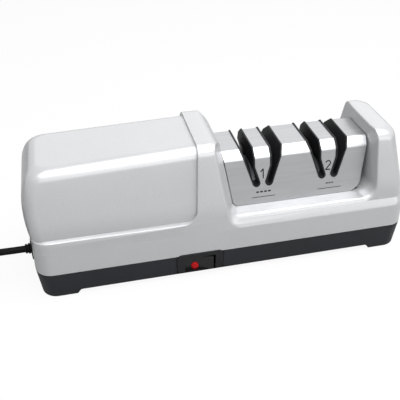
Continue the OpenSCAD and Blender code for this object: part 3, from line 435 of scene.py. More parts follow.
@dataclass(frozen=True)
class Finish:
    """A material's name, colours and gloss, and its grain.

    The tone wanders between the two colours, which are sRGB hex values. The grain is the width of
    its bumps and the depth their height, in millimetres. The spread is how far the roughness runs
    to each side of its middle value, and the mottle is the width of the broad clouds under the
    grain.
    """

    name: str
    colour: str
    shade_colour: str
    roughness: float
    grain: float
    depth: float
    metallic: float = 0.0
    ior: float = 1.5
    coat: float = 0.0
    spread: float = 0.04
    coat_roughness: float = 0.12
    mottle: float = 38.0

    def start(self) -> Started:
        """Makes the material and its shader.

        Returns:
            The material, its node tree, its shader, and Object coordinates in metres.
        """
        material = bpy.data.materials.new(self.name)
        material.use_nodes = True
        tree = material.node_tree
        shader = tree.nodes["Principled BSDF"]
        shader.inputs["Metallic"].default_value = self.metallic
        shader.inputs["IOR"].default_value = self.ior
        shader.inputs["Coat Weight"].default_value = self.coat
        shader.inputs["Coat Roughness"].default_value = self.coat_roughness
        material.diffuse_color = linear(self.colour)
        place = add_node(tree, "ShaderNodeTexCoord", {})
        return material, tree, shader, place.outputs["Object"]

    def dress(self, tree: bpy.types.NodeTree, shader: bpy.types.Node, tone: bpy.types.NodeSocket,
              grain: bpy.types.NodeSocket, limits: tuple[float, float], bump: float) -> None:
        """Puts the pattern into the shader's colour, roughness and height.

        Args:
            tree: The material's node tree.
            shader: The material's shader.
            tone: Runs from 0 at the first colour to 1 at the second.
            grain: The pattern that roughness and height follow.
            limits: The grain's values at which roughness is lowest and highest.
            bump: Strength of the height.
        """
        mix = add_node(tree, "ShaderNodeMix", {
            "Factor": tone, "A": linear(self.colour), "B": linear(self.shade_colour)},
            data_type="RGBA")
        tree.links.new(mix.outputs["Result"], shader.inputs["Base Color"])
        rough = add_node(tree, "ShaderNodeMapRange", {
            "Value": grain, "From Min": limits[0], "From Max": limits[1],
            "To Min": self.roughness - self.spread, "To Max": self.roughness + self.spread})
        tree.links.new(rough.outputs[0], shader.inputs["Roughness"])
        height = add_node(tree, "ShaderNodeBump", {
            "Height": grain, "Strength": bump, "Distance": self.depth * MM})
        tree.links.new(height.outputs[0], shader.inputs["Normal"])

    def build(self) -> bpy.types.Material:
        """Grain of the real size in colour, roughness and height, over a broad faint mottle.

        Returns:
            The material.
        """
        material, tree, shader, place = self.start()
        fine = add_node(tree, "ShaderNodeTexNoise", {
            "Vector": place, "Scale": 1 / (self.grain * MM), "Detail": 3.0, "Roughness": 0.55})
        broad = add_node(tree, "ShaderNodeTexNoise", {
            "Vector": place, "Scale": 1 / (self.mottle * MM), "Detail": 2.0, "Roughness": 0.5})
        both = add_node(tree, "ShaderNodeMath", {
            0: fine.outputs["Fac"], 1: broad.outputs["Fac"]}, operation="ADD")
        half = add_node(tree, "ShaderNodeMath", {0: both.outputs[0], 1: 0.5}, operation="MULTIPLY")
        tone = add_node(tree, "ShaderNodeMapRange", {
            "Value": half.outputs[0], "From Min": 0.36, "From Max": 0.64})
        self.dress(tree, shader, tone.outputs[0], fine.outputs["Fac"], (0.3, 0.7), 0.35)
        return material


@dataclass(frozen=True)
class BrushedSheet(Finish):
    """Stainless sheet brushed along X: hairlines a few hundredths apart, drawn 0.25 mm apart so
    that they show, long streaks of grit, and a soft stretched highlight."""

    hair_stretch: float = 60.0
    streak: float = 2.4
    streak_stretch: float = 14.0

    def build(self) -> bpy.types.Material:
        """Hairlines and streaks from noise that is many times longer along X than across it.

        Returns:
            The material.
        """
        material, tree, shader, place = self.start()
        hair = add_node(tree, "ShaderNodeMapping", {
            "Vector": place, "Scale": (1 / self.hair_stretch, 1.0, 1.0)})
        lines = add_node(tree, "ShaderNodeTexNoise", {
            "Vector": hair.outputs[0], "Scale": 1 / (self.grain * MM), "Detail": 4.0,
            "Roughness": 0.7})
        wide = add_node(tree, "ShaderNodeMapping", {
            "Vector": place, "Scale": (1 / self.streak_stretch, 1.0, 1.0)})
        streaks = add_node(tree, "ShaderNodeTexNoise", {
            "Vector": wide.outputs[0], "Scale": 1 / (self.streak * MM), "Detail": 2.0,
            "Roughness": 0.5})
        both = add_node(tree, "ShaderNodeMath", {
            0: lines.outputs["Fac"], 1: streaks.outputs["Fac"]}, operation="ADD")
        tone = add_node(tree, "ShaderNodeMapRange", {
            "Value": both.outputs[0], "From Min": 0.75, "From Max": 1.25})
        self.dress(tree, shader, tone.outputs[0], lines.outputs["Fac"], (0.3, 0.7), 0.5)
        return material


@dataclass(frozen=True)
class TurnedMetal(Finish):
    """Metal turned or ground round the X axis: fine rings, which are bands of noise along X."""

    across: float = 0.06

    def build(self) -> bpy.types.Material:
        """Tool rings from noise that hardly changes across the axis.

        Returns:
            The material.
        """
        material, tree, shader, place = self.start()
        scale = add_node(tree, "ShaderNodeMapping", {
            "Vector": place, "Scale": (1.0, self.across, self.across)})
        rings = add_node(tree, "ShaderNodeTexNoise", {
            "Vector": scale.outputs[0], "Scale": 1 / (self.grain * MM), "Detail": 3.0,
            "Roughness": 0.6})
        grain = rings.outputs["Fac"]
        self.dress(tree, shader, grain, grain, (0.0, 1.0), 0.4)
        return material


# The name of each finish is its material slot in the record.
FINISHES: tuple[Finish, ...] = (
    # Pearl ABS, moulded and half polished: a pale silver with a soft gloss and very fine flake.
    Finish("pearl_plastic", "#B5B6B8", "#B1B2B4", 0.30, 0.35, 0.012, metallic=0.22, coat=0.5),
    # Charcoal ABS with a satin moulded face: a cold, nearly black grey.
    Finish("dark_plastic", "#1F2126", "#1B1D21", 0.46, 0.45, 0.02, ior=1.32),
    # Brushed stainless steel sheet: see its class.
    BrushedSheet("brushed_steel", "#B8B9BB", "#B0B1B3", 0.33, 0.25, 0.002, 1.0, spread=0.03),
    # Black glass-filled nylon: satin, with a fine dull grain.
    Finish("black_plastic", "#161618", "#1E1E20", 0.48, 0.5, 0.02, ior=1.3),
    # Polished black ABS of the rocker.
    Finish("black_gloss", "#18181A", "#202023", 0.3, 0.8, 0.008, ior=1.36),
    # Moulded rubber feet: matt, slightly dusty.
    Finish("rubber", "#1A1A1A", "#272726", 0.75, 0.6, 0.06),
    # Zinc plated steel: pale blue-grey, cloudy.
    Finish("zinc", "#B9BDC2", "#9DA2A8", 0.34, 1.6, 0.01, metallic=1.0, spread=0.08),
    # Ground steel of the shafts, discs' hubs and springs: bright, with fine tool rings.
    TurnedMetal("steel", "#BFC0C2", "#9A9B9E", 0.24, 0.3, 0.008, metallic=1.0),
    # Turned brass: warm yellow, with fine tool rings.
    TurnedMetal("brass", "#C9A25A", "#A98445", 0.30, 0.35, 0.008, metallic=1.0),
    # Red polycarbonate of the lamp's lens: a deep even red with a satin face.
    Finish("red_lens", "#B4060C", "#A0040A", 0.34, 1.2, 0.002, ior=1.3),
    # Pressed ferrite and carbon: dull dark grey powder.
    Finish("ferrite", "#3A3A3D", "#2C2C2F", 0.62, 0.4, 0.05),
    # Stacked electrical steel: sheets half a millimetre thick, seen on edge.
    TurnedMetal("laminations", "#77797D", "#4C4D50", 0.45, 0.5, 0.06, metallic=0.7, spread=0.1),
    # Enamelled copper: wire 0.4 mm thick, wound round the poles.
    TurnedMetal("copper", "#B8713A", "#7A4420", 0.32, 0.4, 0.08, metallic=0.9, spread=0.08),
    # Natural nylon: warm white, waxy.
    Finish("white_plastic", "#DDD9CC", "#D1CCBD", 0.45, 0.6, 0.02, ior=1.53),
    # Die-cast aluminium: pale and slightly frosted.
    Finish("aluminium", "#BEC1C5", "#A5A8AD", 0.40, 0.7, 0.03, metallic=1.0),
    # Fine diamond grit plated on a steel disc: grains of about 0.1 mm, drawn at 0.2 mm.
    Finish("diamond", "#85878C", "#5E6065", 0.55, 0.2, 0.09, metallic=0.8, spread=0.12),
    # Brown lead insulation.
    Finish("lead_brown", "#6A4326", "#5A371D", 0.45, 0.8, 0.01),
    # Black PVC sheath of the cord: low sheen, hardly any grain.
    Finish("cord_rubber", "#060607", "#0B0B0C", 0.6, 0.7, 0.02, ior=1.2),
)


# ---------------------------------------------------------------- housing


@dataclass(frozen=True)
class BodyForm:
    """Sizes that the sub-assemblies share, as in the part's source."""

    length: float = 252.0
    width: float = 78.0
    height: float = 92.0
    seam_z: float = 19.4
    corner_r: float = 11.0
    wall: float = 2.4
    bend_z: float = 52.0
    soften: float = 6.5
    foot_draw: float = 0.4
    lean_angle: float = 16.6
    lean_top_y: float = 26.6
    lean_top_drop: float = 0.2
    edge_r: float = 9.0
    sill_z: float = 43.0
    trough_x0: float = 5.1
    trough_x1: float = 93.8
    trough_lean: float = 0.175
    trough_left_r: float = 5.0
    trough_right_r: float = 9.0
    guide_foot_y: float = 24.9
    guide_shoulder_y: float = 17.8
    guide_shoulder_z: float = 74.2
    shaft_z: float = 44.0
    post_x: float = 108.0
    post_y: float = 20.0
    post_r: float = 4.6
    cord_y: float = -14.0
    cord_z: float = 24.0
    cord_hole_r: float = 5.0
    switch_x0: float = -36.6
    switch_x1: float = -4.6

    @property
    def half_l(self) -> float:
        """Half of the body's length."""
        return self.length / 2

    @property
    def half_w(self) -> float:
        """Half of the body's depth."""
        return self.width / 2

    @property
    def posts(self) -> list[tuple[float, float]]:
        """Places of the posts that the tray's screws go through."""
        return four(self.post_x, self.post_y)

    @property
    def guide_slope(self) -> float:
        """How far the steel's front face leans in for each millimetre of height."""
        return (self.guide_foot_y - self.guide_shoulder_y) / (self.guide_shoulder_z - self.sill_z)

    def guide_y(self, z: Array) -> Array:
        """Half depth of the steel cover's front face."""
        return self.guide_foot_y - (z - self.sill_z) * self.guide_slope

    def lean_y(self, z: Array) -> Array:
        """Half depth of the leaning wall: its value near the top plus the lean times the drop."""
        lean = math.tan(math.radians(self.lean_angle))
        return self.lean_top_y + (self.height - self.lean_top_drop - z) * lean

    def wall_y(self, z: Array | float) -> Array:
        """Half depth of the wall: upright, then a parabola over the bend, then leaning.

        Args:
            z: Heights.

        Returns:
            The half depth at each height.
        """
        z = np.asarray(z, float)
        low, high = self.bend_z - self.soften, self.bend_z + self.soften
        foot = self.half_w - self.foot_draw
        u = np.clip((z - low) / (high - low), 0, 1)
        upright = self.half_w - self.foot_draw * (z - self.seam_z) / (low - self.seam_z)
        curved = (1 - u * u) * foot + u * u * self.lean_y(high)
        return np.where(z <= low, upright, np.where(z < high, curved, self.lean_y(z)))

    def lump_y(self, z: Array, top: float, inset: float) -> Array:
        """Half depth of a lump: the wall, then an arc of the top edge's radius that touches it.

        Args:
            z: Heights.
            top: Height of the lump's top.
            inset: How far the lump stands back from the wall.

        Returns:
            The half depth at each height.
        """
        angle = math.radians(self.lean_angle)
        start = top - self.edge_r + self.edge_r * math.sin(angle)
        middle = self.lean_y(top - self.edge_r) - self.edge_r / math.cos(angle)
        over = middle + np.sqrt(np.maximum(0, self.edge_r**2 - (z - top + self.edge_r)**2))
        return np.where(z <= start, self.wall_y(z), over) - inset

    def levels(self, start: float, top: float) -> Array:
        """Heights of a lump's rings: close together in the bend and round the top edge.

        Args:
            start: The lowest height.
            top: Height of the lump's top.

        Returns:
            The heights, rising.
        """
        swing = np.radians(np.linspace(self.lean_angle, 90, 19))
        roll = top - self.edge_r + self.edge_r * np.sin(swing)
        low, high = self.bend_z - self.soften, self.bend_z + self.soften
        return np.concatenate([np.linspace(start, low, 16)[:-1], np.linspace(low, high, 13),
                               np.linspace(high, roll[0], 12)[1:-1], roll])


def bordered(z: Array, depth: Array, left: Wall, right: Wall, kink: Array,
             radii: tuple[Array | float, Array | float]) -> Array:
    """Rings between a left and a right wall that are functions of depth and height.

    Each side is sampled closely before and behind the kink at plus and minus kink(z). Each corner
    is a cubic curve that touches both walls.

    Args:
        z: Height of each ring.
        depth: Half depth of each ring.
        left: X of the left wall for given Y and Z.
        right: X of the right wall for given Y and Z.
        kink: Distance of the walls' kinks from the middle, one for each ring.
        radii: Rounding of the left and right corners.

    Returns:
        Array of rings by points by 3, anticlockwise from above.
    """
    z, depth = z[:, None], depth[:, None]
    kink = np.minimum(kink[:, None], depth - 2)
    t = np.linspace(0, 1, 13)
    blend = np.linspace(0, 1, 8)
    weights = [(1 - blend)**3, 3 * (1 - blend)**2 * blend, 3 * (1 - blend) * blend**2, blend**3]

    def side(wall: Wall, r: Array | float) -> tuple[Array, Array]:
        """One wall, from the front to the back.

        Args:
            wall: X of the wall for given Y and Z.
            r: Rounding of its corners, which are left out.

        Returns:
            X and Y of rings by points.
        """
        end = depth - np.reshape(r, (-1, 1))
        bend = np.minimum(kink, end - 0.6)
        front = -end + (end - bend) * t
        across = -bend + 2 * bend * np.array([[0.33, 0.67]])
        y = np.concatenate([front, across, -front[:, ::-1]], axis=1)
        return wall(y, z), y

    def corner(wall: Wall, r: Array | float, inwards: int, back: int) -> tuple[Array, Array]:
        """One corner, from the wall to the front or back.

        Args:
            wall: X of the wall for given Y and Z.
            r: Rounding of the corner.
            inwards: 1 where the inside lies towards +X, -1 where it lies towards -X.
            back: 1 for a corner at the back, -1 for one at the front.

        Returns:
            X and Y of rings by points.
        """
        r = np.reshape(r, (-1, 1))
        cy = back * depth
        cx = wall(cy, z)
        ay = back * (depth - r)
        ax = wall(ay, z)
        bx = cx + inwards * r
        x = (weights[0] * ax + weights[1] * (ax + HANDLE * (cx - ax))
             + weights[2] * (bx + HANDLE * (cx - bx)) + weights[3] * bx)
        y = (weights[0] * ay + weights[1] * (ay + HANDLE * (cy - ay))
             + (weights[2] + weights[3]) * cy)
        return x, y

    left_r, right_r = radii
    lefts, rights = side(left, left_r), side(right, right_r)
    fl, bl = corner(left, left_r, 1, -1), corner(left, left_r, 1, 1)
    fr, br = corner(right, right_r, -1, -1), corner(right, right_r, -1, 1)
    x, y = (np.concatenate([fr[k][:, ::-1], rights[k][:, 1:-1], br[k], bl[k][:, ::-1],
                            lefts[k][:, -2:0:-1], fl[k]], axis=1) for k in (0, 1))
    return np.stack([x, y, np.broadcast_to(z, x.shape)], -1)


@dataclass
class Housing:
    """The pearl housing: motor cover, collar, sill, bolster and the body under them.

    The upper forms start at start_z, inside the body, and reach into their neighbours. The hair
    is a step that keeps the faces of joined forms from coinciding, and a cutter runs past the
    face that it opens. The sill's section turns into the bolster's ledge over turn_run, from
    turn_x on. The hollow has a softer ledge and stands further back where its corners are tight.
    """

    form: BodyForm
    cover_inset: float = 2.5
    cover_shift: float = -1.2
    ledge_z: float = 44.0
    ledge_rise: float = 0.78
    ledge_slope: float = 3.4
    ledge_soft: float = 0.25
    cover_end_z: float = 87.0
    cover_top_z: float = 90.3
    cover_end_w: float = 12.5
    cover_end_h: float = 24.0
    cover_swell: float = 1.6
    cover_corner_r: float = 8.5
    collar_x: float = -19.3
    collar_lean: float = math.tan(math.radians(4.4))
    collar_roll_r: float = 10.0
    collar_roll_x: float = 7.3
    collar_side_lean: float = 0.48
    collar_foot_r: float = 8.0
    collar_left_r: float = 0.5
    sill_r: float = 7.0
    brow_y: float = 33.2
    brow_z: float = 36.0
    brow_lean: float = math.radians(27)
    brow_pull: float = 5.4
    brow_top_pull: float = 1.6
    bolster_h: float = 87.5
    bolster_inset: float = 2.6
    bolster_ledge_z: float = 36.0
    bolster_ledge_rise: float = 5.0
    bolster_ledge_soft: float = 0.3
    bolster_ledge_drop: float = 0.6
    bolster_start_z: float = 25.0
    bolster_lean: float = math.tan(math.radians(10.2))
    bolster_edge_r: float = 5.0
    left_r_run: float = 14.0
    left_flare: float = 0.43
    left_flare_lean: float = 0.28
    gap_x: float = 99.4
    gap_step: float = 1.0
    right_flare: float = 0.12
    right_flare_lean: float = 0.03
    end_draw: float = 0.3
    right_draw: float = 0.32
    left_inset: float = 0.4
    turn_x: float = 94.0
    turn_run: float = 9.0
    hollow_soft: float = 2.0
    hollow_back: float = 0.45
    least_r: float = 0.4
    past: float = 1.0
    start_z: float = 30.0
    reach: float = 3.0
    edge: float = 1.1
    seam_r: float = 0.4
    hair: float = 0.03
    opening_rim: float = 1.8
    opening_z: float = 50.5
    way_r: float = 7.5
    way_x: float = 8.1
    cord_way: tuple[float, float] = (-127.0, -121.6)
    notch_drop: float = 14.0
    notch_z: float = 20.45
    notch_y: float = -35.6
    notch_r: float = 3.8
    post_z: float = 34.0
    bore_z: float = 33.0
    bore_r: float = 1.6

    def brow(self) -> Array:
        """The sill's front edge: a cubic that leaves the wall at an angle, so that a crisp line
        shows there, and runs level into the sill's top.

        Returns:
            One row of Y and Z for each point, from the wall to the top.
        """
        f = self.form
        foot = np.array([float(f.wall_y(self.brow_z)) - 2 * self.hair, self.brow_z])
        top = np.array([self.brow_y, f.sill_z])
        way = np.array([-math.sin(self.brow_lean), math.cos(self.brow_lean)])
        low = foot + self.brow_pull * way
        high = top + np.array([self.brow_top_pull, 0.0])
        t = np.linspace(0, 1, 17)[:, None]
        return (1 - t)**3 * foot + 3 * (1 - t)**2 * t * low + 3 * (1 - t) * t**2 * high + t**3 * top

    def sill_at(self, y: Array) -> Array:
        """Height of the sill, which falls over its front edge."""
        edge = self.brow()[::-1]
        return np.interp(np.abs(y), edge[:, 0], edge[:, 1])

    def trough_left(self, y: Array, z: Array) -> Array:
        """The trough's left wall: upright beside the guide, flared in front of it, with a quarter
        arc at its foot that follows the sill and grows towards the front.

        Args:
            y: Places along Y.
            z: Heights.

        Returns:
            X of the wall.
        """
        f = self.form
        out = np.abs(y) - f.guide_foot_y
        r = f.trough_left_r * (1 + bent(out / self.left_r_run))
        zc = np.maximum(z, self.sill_at(y) + r)
        plain = f.trough_x0 - (zc - f.sill_z) * f.trough_lean
        flared = f.trough_x0 - self.left_flare * out - self.left_flare_lean * (zc - f.sill_z)
        wall = np.where(np.abs(y) < f.guide_y(zc), plain, flared)
        return wall + r - np.sqrt(np.maximum(0, r**2 - (zc - z)**2))

    def trough_right(self, y: Array, z: Array) -> Array:
        """The trough's right wall: steep, with a quarter arc at its foot, and set back beside the
        guide, so that a dark gap shows along the guide's edge.

        Args:
            y: Places along Y.
            z: Heights.

        Returns:
            X of the wall.
        """
        f = self.form
        r = f.trough_right_r
        zc = np.maximum(z, self.sill_at(y) + r)
        out = np.abs(y) - f.guide_foot_y
        flared = self.gap_x + self.right_flare * out + self.right_flare_lean * (zc - f.sill_z)
        wall = np.where(np.abs(y) < f.guide_y(zc), flared + self.gap_step, flared)
        return wall - r + np.sqrt(np.maximum(0, r**2 - (zc - z)**2))

    def end_x(self, z: Array, top: float, d: float) -> Array:
        """Left end of the motor cover: it swells over the ledge, then a quarter of an ellipse
        leans in and folds over to the top.

        Args:
            z: Heights.
            top: Height of the cover's top.
            d: How far the surface is set in.

        Returns:
            X of the end at each height.
        """
        over = np.maximum(0, (z - top) / self.cover_end_h + 1)
        under = np.clip(1 - (z - self.ledge_z) / (top - self.cover_end_h - self.ledge_z), 0, 1)
        return (-self.form.half_l + self.cover_shift + d + self.cover_swell * under**2
                + self.cover_end_w * (1 - np.sqrt(np.maximum(0, 1 - over**2))))

    def bolster_end(self, z: Array, d: float) -> Array:
        """Right end of the bolster: a leaning face and a quarter arc over to its top.

        Args:
            z: Heights.
            d: How far the surface is set in.

        Returns:
            X of the end at each height.
        """
        r = self.bolster_edge_r
        over = np.maximum(0, z - self.bolster_h + r)
        return (self.form.half_l - d - np.maximum(0, z - self.bolster_start_z) * self.bolster_lean
                - r + np.sqrt(np.maximum(0, r**2 - over**2)))

    def low_body(self, d: float) -> bpy.types.Object:
        """The body round the whole plan, up to the bolster's ledge, which is a soft slope.

        Args:
            d: How far the surface is set in.

        Returns:
            The closed form.
        """
        f = self.form
        foot = f.seam_z - (self.past if d else 0.0)
        ledge, rise = self.bolster_ledge_z - d / 2, self.bolster_ledge_rise - d / 2
        z = np.concatenate([[foot, foot + 4.0], np.linspace(ledge - 2.0, ledge + 2.0, 9),
                            [ledge + rise]])
        soft = self.hollow_soft if d else self.bolster_ledge_soft
        draw = ramp((z - ledge) / rise, soft / rise)
        inset = self.bolster_inset * draw
        end = float(self.bolster_end(np.array(ledge + rise), d))
        leaning = np.maximum(draw, self.right_draw * (z - foot) / (ledge - foot))
        right = f.half_l - d + (end - f.half_l + d) * leaning
        left = -f.half_l + d + self.end_draw * (z - foot) / (ledge - foot) + inset
        r = f.corner_r - d - inset
        return skin("low_body", rounded_rings(z, left, right, f.wall_y(z) - d - inset, r, r))

    def left_body(self, d: float) -> bpy.types.Object:
        """The body under the motor cover, with a narrow ledge all round.

        Args:
            d: How far the surface is set in.

        Returns:
            The closed form.
        """
        f = self.form
        ledge, soft = self.ledge_z - d / 2, self.ledge_soft
        z = np.concatenate([
            np.linspace(self.start_z, ledge - soft, 5),
            np.linspace(ledge - soft, ledge + soft, 5)[1:], [ledge + self.ledge_rise]])
        inset = self.ledge_slope * ramp(z - ledge, soft)
        return skin("left_body", rounded_rings(
            z, -f.half_l + self.left_inset + self.hair + d + inset, self.collar_x + self.reach,
            f.wall_y(np.minimum(z, ledge)) - self.hair - d - inset, f.corner_r - d - inset,
            self.seam_r))

    def middle(self, d: float) -> bpy.types.Object:
        """The body under the trough: its section, carried along X, is a sill with rounded edges
        that turns into the bolster's ledge at its right end.

        Args:
            d: How far the surface is set in.

        Returns:
            The closed form.
        """
        f = self.form
        r = self.sill_r - d
        front = float(f.wall_y(self.brow_z)) - 2 * self.hair - d
        edge = arc(front - r, f.sill_z - d - r, r, 0, 90, 16) if d else self.brow()
        half = np.vstack([[front + 0.1, self.start_z], edge])
        slope = half.copy()
        back = front - np.minimum(half[:, 0], front)
        lowered = (self.bolster_ledge_z - d / 2
                   + back * self.bolster_ledge_rise / self.bolster_inset - self.bolster_ledge_drop)
        slope[1:, 1] = np.minimum(half[1:, 1], lowered[1:])
        x = np.concatenate([[self.collar_x + 5, 60.0], np.linspace(90, 104, 15)])
        s = bent((x - self.turn_x) / self.turn_run)[:, None, None]
        section = half * (1 - s) + slope * s
        y = np.concatenate([section[:, :, 0], -section[:, ::-1, 0]], axis=1)
        z = np.concatenate([section[:, :, 1], section[:, ::-1, 1]], axis=1)
        return skin("middle", np.stack([np.broadcast_to(x[:, None], y.shape), y, z], -1))

    def motor_cover(self, d: float) -> bpy.types.Object:
        """The motor cover: its rings tilt, because its top falls towards its rounded end.

        Args:
            d: How far the surface is set in.

        Returns:
            The closed form.
        """
        f = self.form
        end_top, top = self.cover_end_z - d, self.cover_top_z - d
        low, high = f.levels(self.start_z, end_top), f.levels(self.start_z, top)
        x0 = self.end_x(low, end_top, d)
        x1 = self.collar_x + self.reach + 2 * self.hair
        y0 = f.lump_y(low, end_top, self.cover_inset + d)
        y1 = f.lump_y(high, top, self.cover_inset + d)
        rings = rounded_rings(low, x0, x1, y0, self.cover_corner_r - d, self.seam_r)
        u = (rings[..., 0] - x0[:, None]) / (x1 - x0[:, None])
        rings[..., 1] *= 1 + ((y1 / y0)[:, None] - 1) * u
        rings[..., 2] += (high - low)[:, None] * u
        return skin("motor_cover", rings)

    def collar(self, d: float) -> bpy.types.Object:
        """The collar: a leaning left edge, and a right side that rolls over from the top into the
        trough's left wall.

        Args:
            d: How far the surface is set in.

        Returns:
            The closed form.
        """
        f = self.form
        z = f.levels(self.start_z, f.height - d)

        def left(y: Array, zz: Array) -> Array:
            """The left edge: a straight lean over an arc at the foot.

            Args:
                y: Places along Y.
                zz: Heights.

            Returns:
                X of the edge.
            """
            r = self.collar_foot_r
            foot = np.clip(r - (zz - self.ledge_z), 0, r)
            return (self.collar_x + d - (f.height - zz) * self.collar_lean - r
                    + np.sqrt(r * r - foot**2) + 0 * y)

        def right(y: Array, zz: Array) -> Array:
            """The right side: an arc at the top over a straight side, or the trough's wall.

            Args:
                y: Places along Y.
                zz: Heights.

            Returns:
                X of the side.
            """
            r = self.collar_roll_r
            over = np.maximum(0, zz + d - f.height + r)
            rolled = self.collar_x + self.collar_roll_x - d + np.sqrt(np.maximum(0, r**2 - over**2))
            straight = rolled + np.maximum(0, f.height - r - zz) * self.collar_side_lean
            return np.minimum(straight, self.trough_left(y, zz) - d)

        depth = f.lump_y(z, f.height - d, self.hair / 2 + d)
        radii = self.collar_left_r, self.edge
        return skin("collar", bordered(z, depth, left, right, f.guide_y(z), radii))

    def bolster(self, d: float) -> bpy.types.Object:
        """The bolster: the trough's right wall on its left, a leaning end on its right, and soft
        edges round its top.

        Args:
            d: How far the surface is set in.

        Returns:
            The closed form.
        """
        f = self.form
        top = self.bolster_h - d
        z = f.levels(self.start_z, top)
        over = np.maximum(0, z - top + self.edge)
        drawn = self.edge - np.sqrt(np.maximum(0, self.edge**2 - over**2))

        def left(y: Array, zz: Array) -> Array:
            """X of the trough's right wall, drawn in at the top."""
            return self.trough_right(y, zz) + d + drawn[:, None]

        def right(y: Array, zz: Array) -> Array:
            """X of the leaning end."""
            return self.bolster_end(zz + d, d) - self.hair + 0 * y

        depth = f.lump_y(z, top, self.bolster_inset + self.hair + d)
        room = self.bolster_end(z + d, d) - self.trough_right(depth, z) - d - drawn - self.edge
        full_r = f.corner_r - self.bolster_inset - d
        corner_r = np.clip(room - self.least_r, self.least_r, full_r)
        if d:  # a hollow whose corners can't be round enough stays further back from the front
            depth = depth - self.hollow_back * (full_r - corner_r)
        return skin("bolster", bordered(z, depth, left, right, f.guide_y(z), (self.edge, corner_r)))

    def lumps(self, d: float) -> bpy.types.Object:
        """All forms of the body joined in one.

        Args:
            d: How far each surface is set in.

        Returns:
            The closed form.
        """
        body = self.low_body(d)
        for part in (self.left_body, self.middle, self.motor_cover, self.collar, self.bolster):
            body = combine(body, part(d), Cut.UNION)
        return body

    def build(self) -> bpy.types.Object:
        """The hollow shell with its openings and screw posts.

        Returns:
            The finished piece.
        """
        f = self.form
        shell = combine(self.lumps(0.0), self.lumps(f.wall), Cut.DIFFERENCE)
        rim = f.guide_foot_y - self.opening_rim
        notch = round_rect(f.switch_x0, f.switch_x1, f.seam_z - self.notch_drop, self.notch_z,
                           self.notch_r)
        cord = f.cord_y, f.cord_z
        for tool in (
                box_mesh("sill_opening", (f.trough_x0, -rim, f.seam_z - self.past),
                         (f.trough_x1, rim, self.opening_z)),
                lathe("shaft_way", (self.collar_x, self.way_x), self.way_r, (0.0, f.shaft_z),
                      Axis.X),
                prism("bezel_notch", notch, (self.notch_y, -f.half_w - self.past), Axis.Y),
                lathe("cord_hole", self.cord_way, f.cord_hole_r, cord, Axis.X)):
            shell = combine(shell, tool, Cut.DIFFERENCE)
        for spot in f.posts:
            post = lathe("post", (f.seam_z, self.post_z), f.post_r, spot, Axis.Z)
            bore = lathe("bore", (f.seam_z - self.past, self.bore_z), self.bore_r, spot, Axis.Z, 24)
            shell = combine(shell, combine(post, bore, Cut.DIFFERENCE), Cut.UNION)
        shell.name = "housing_shell"
        return shade(shell)


# ---------------------------------------------------------------- base tray


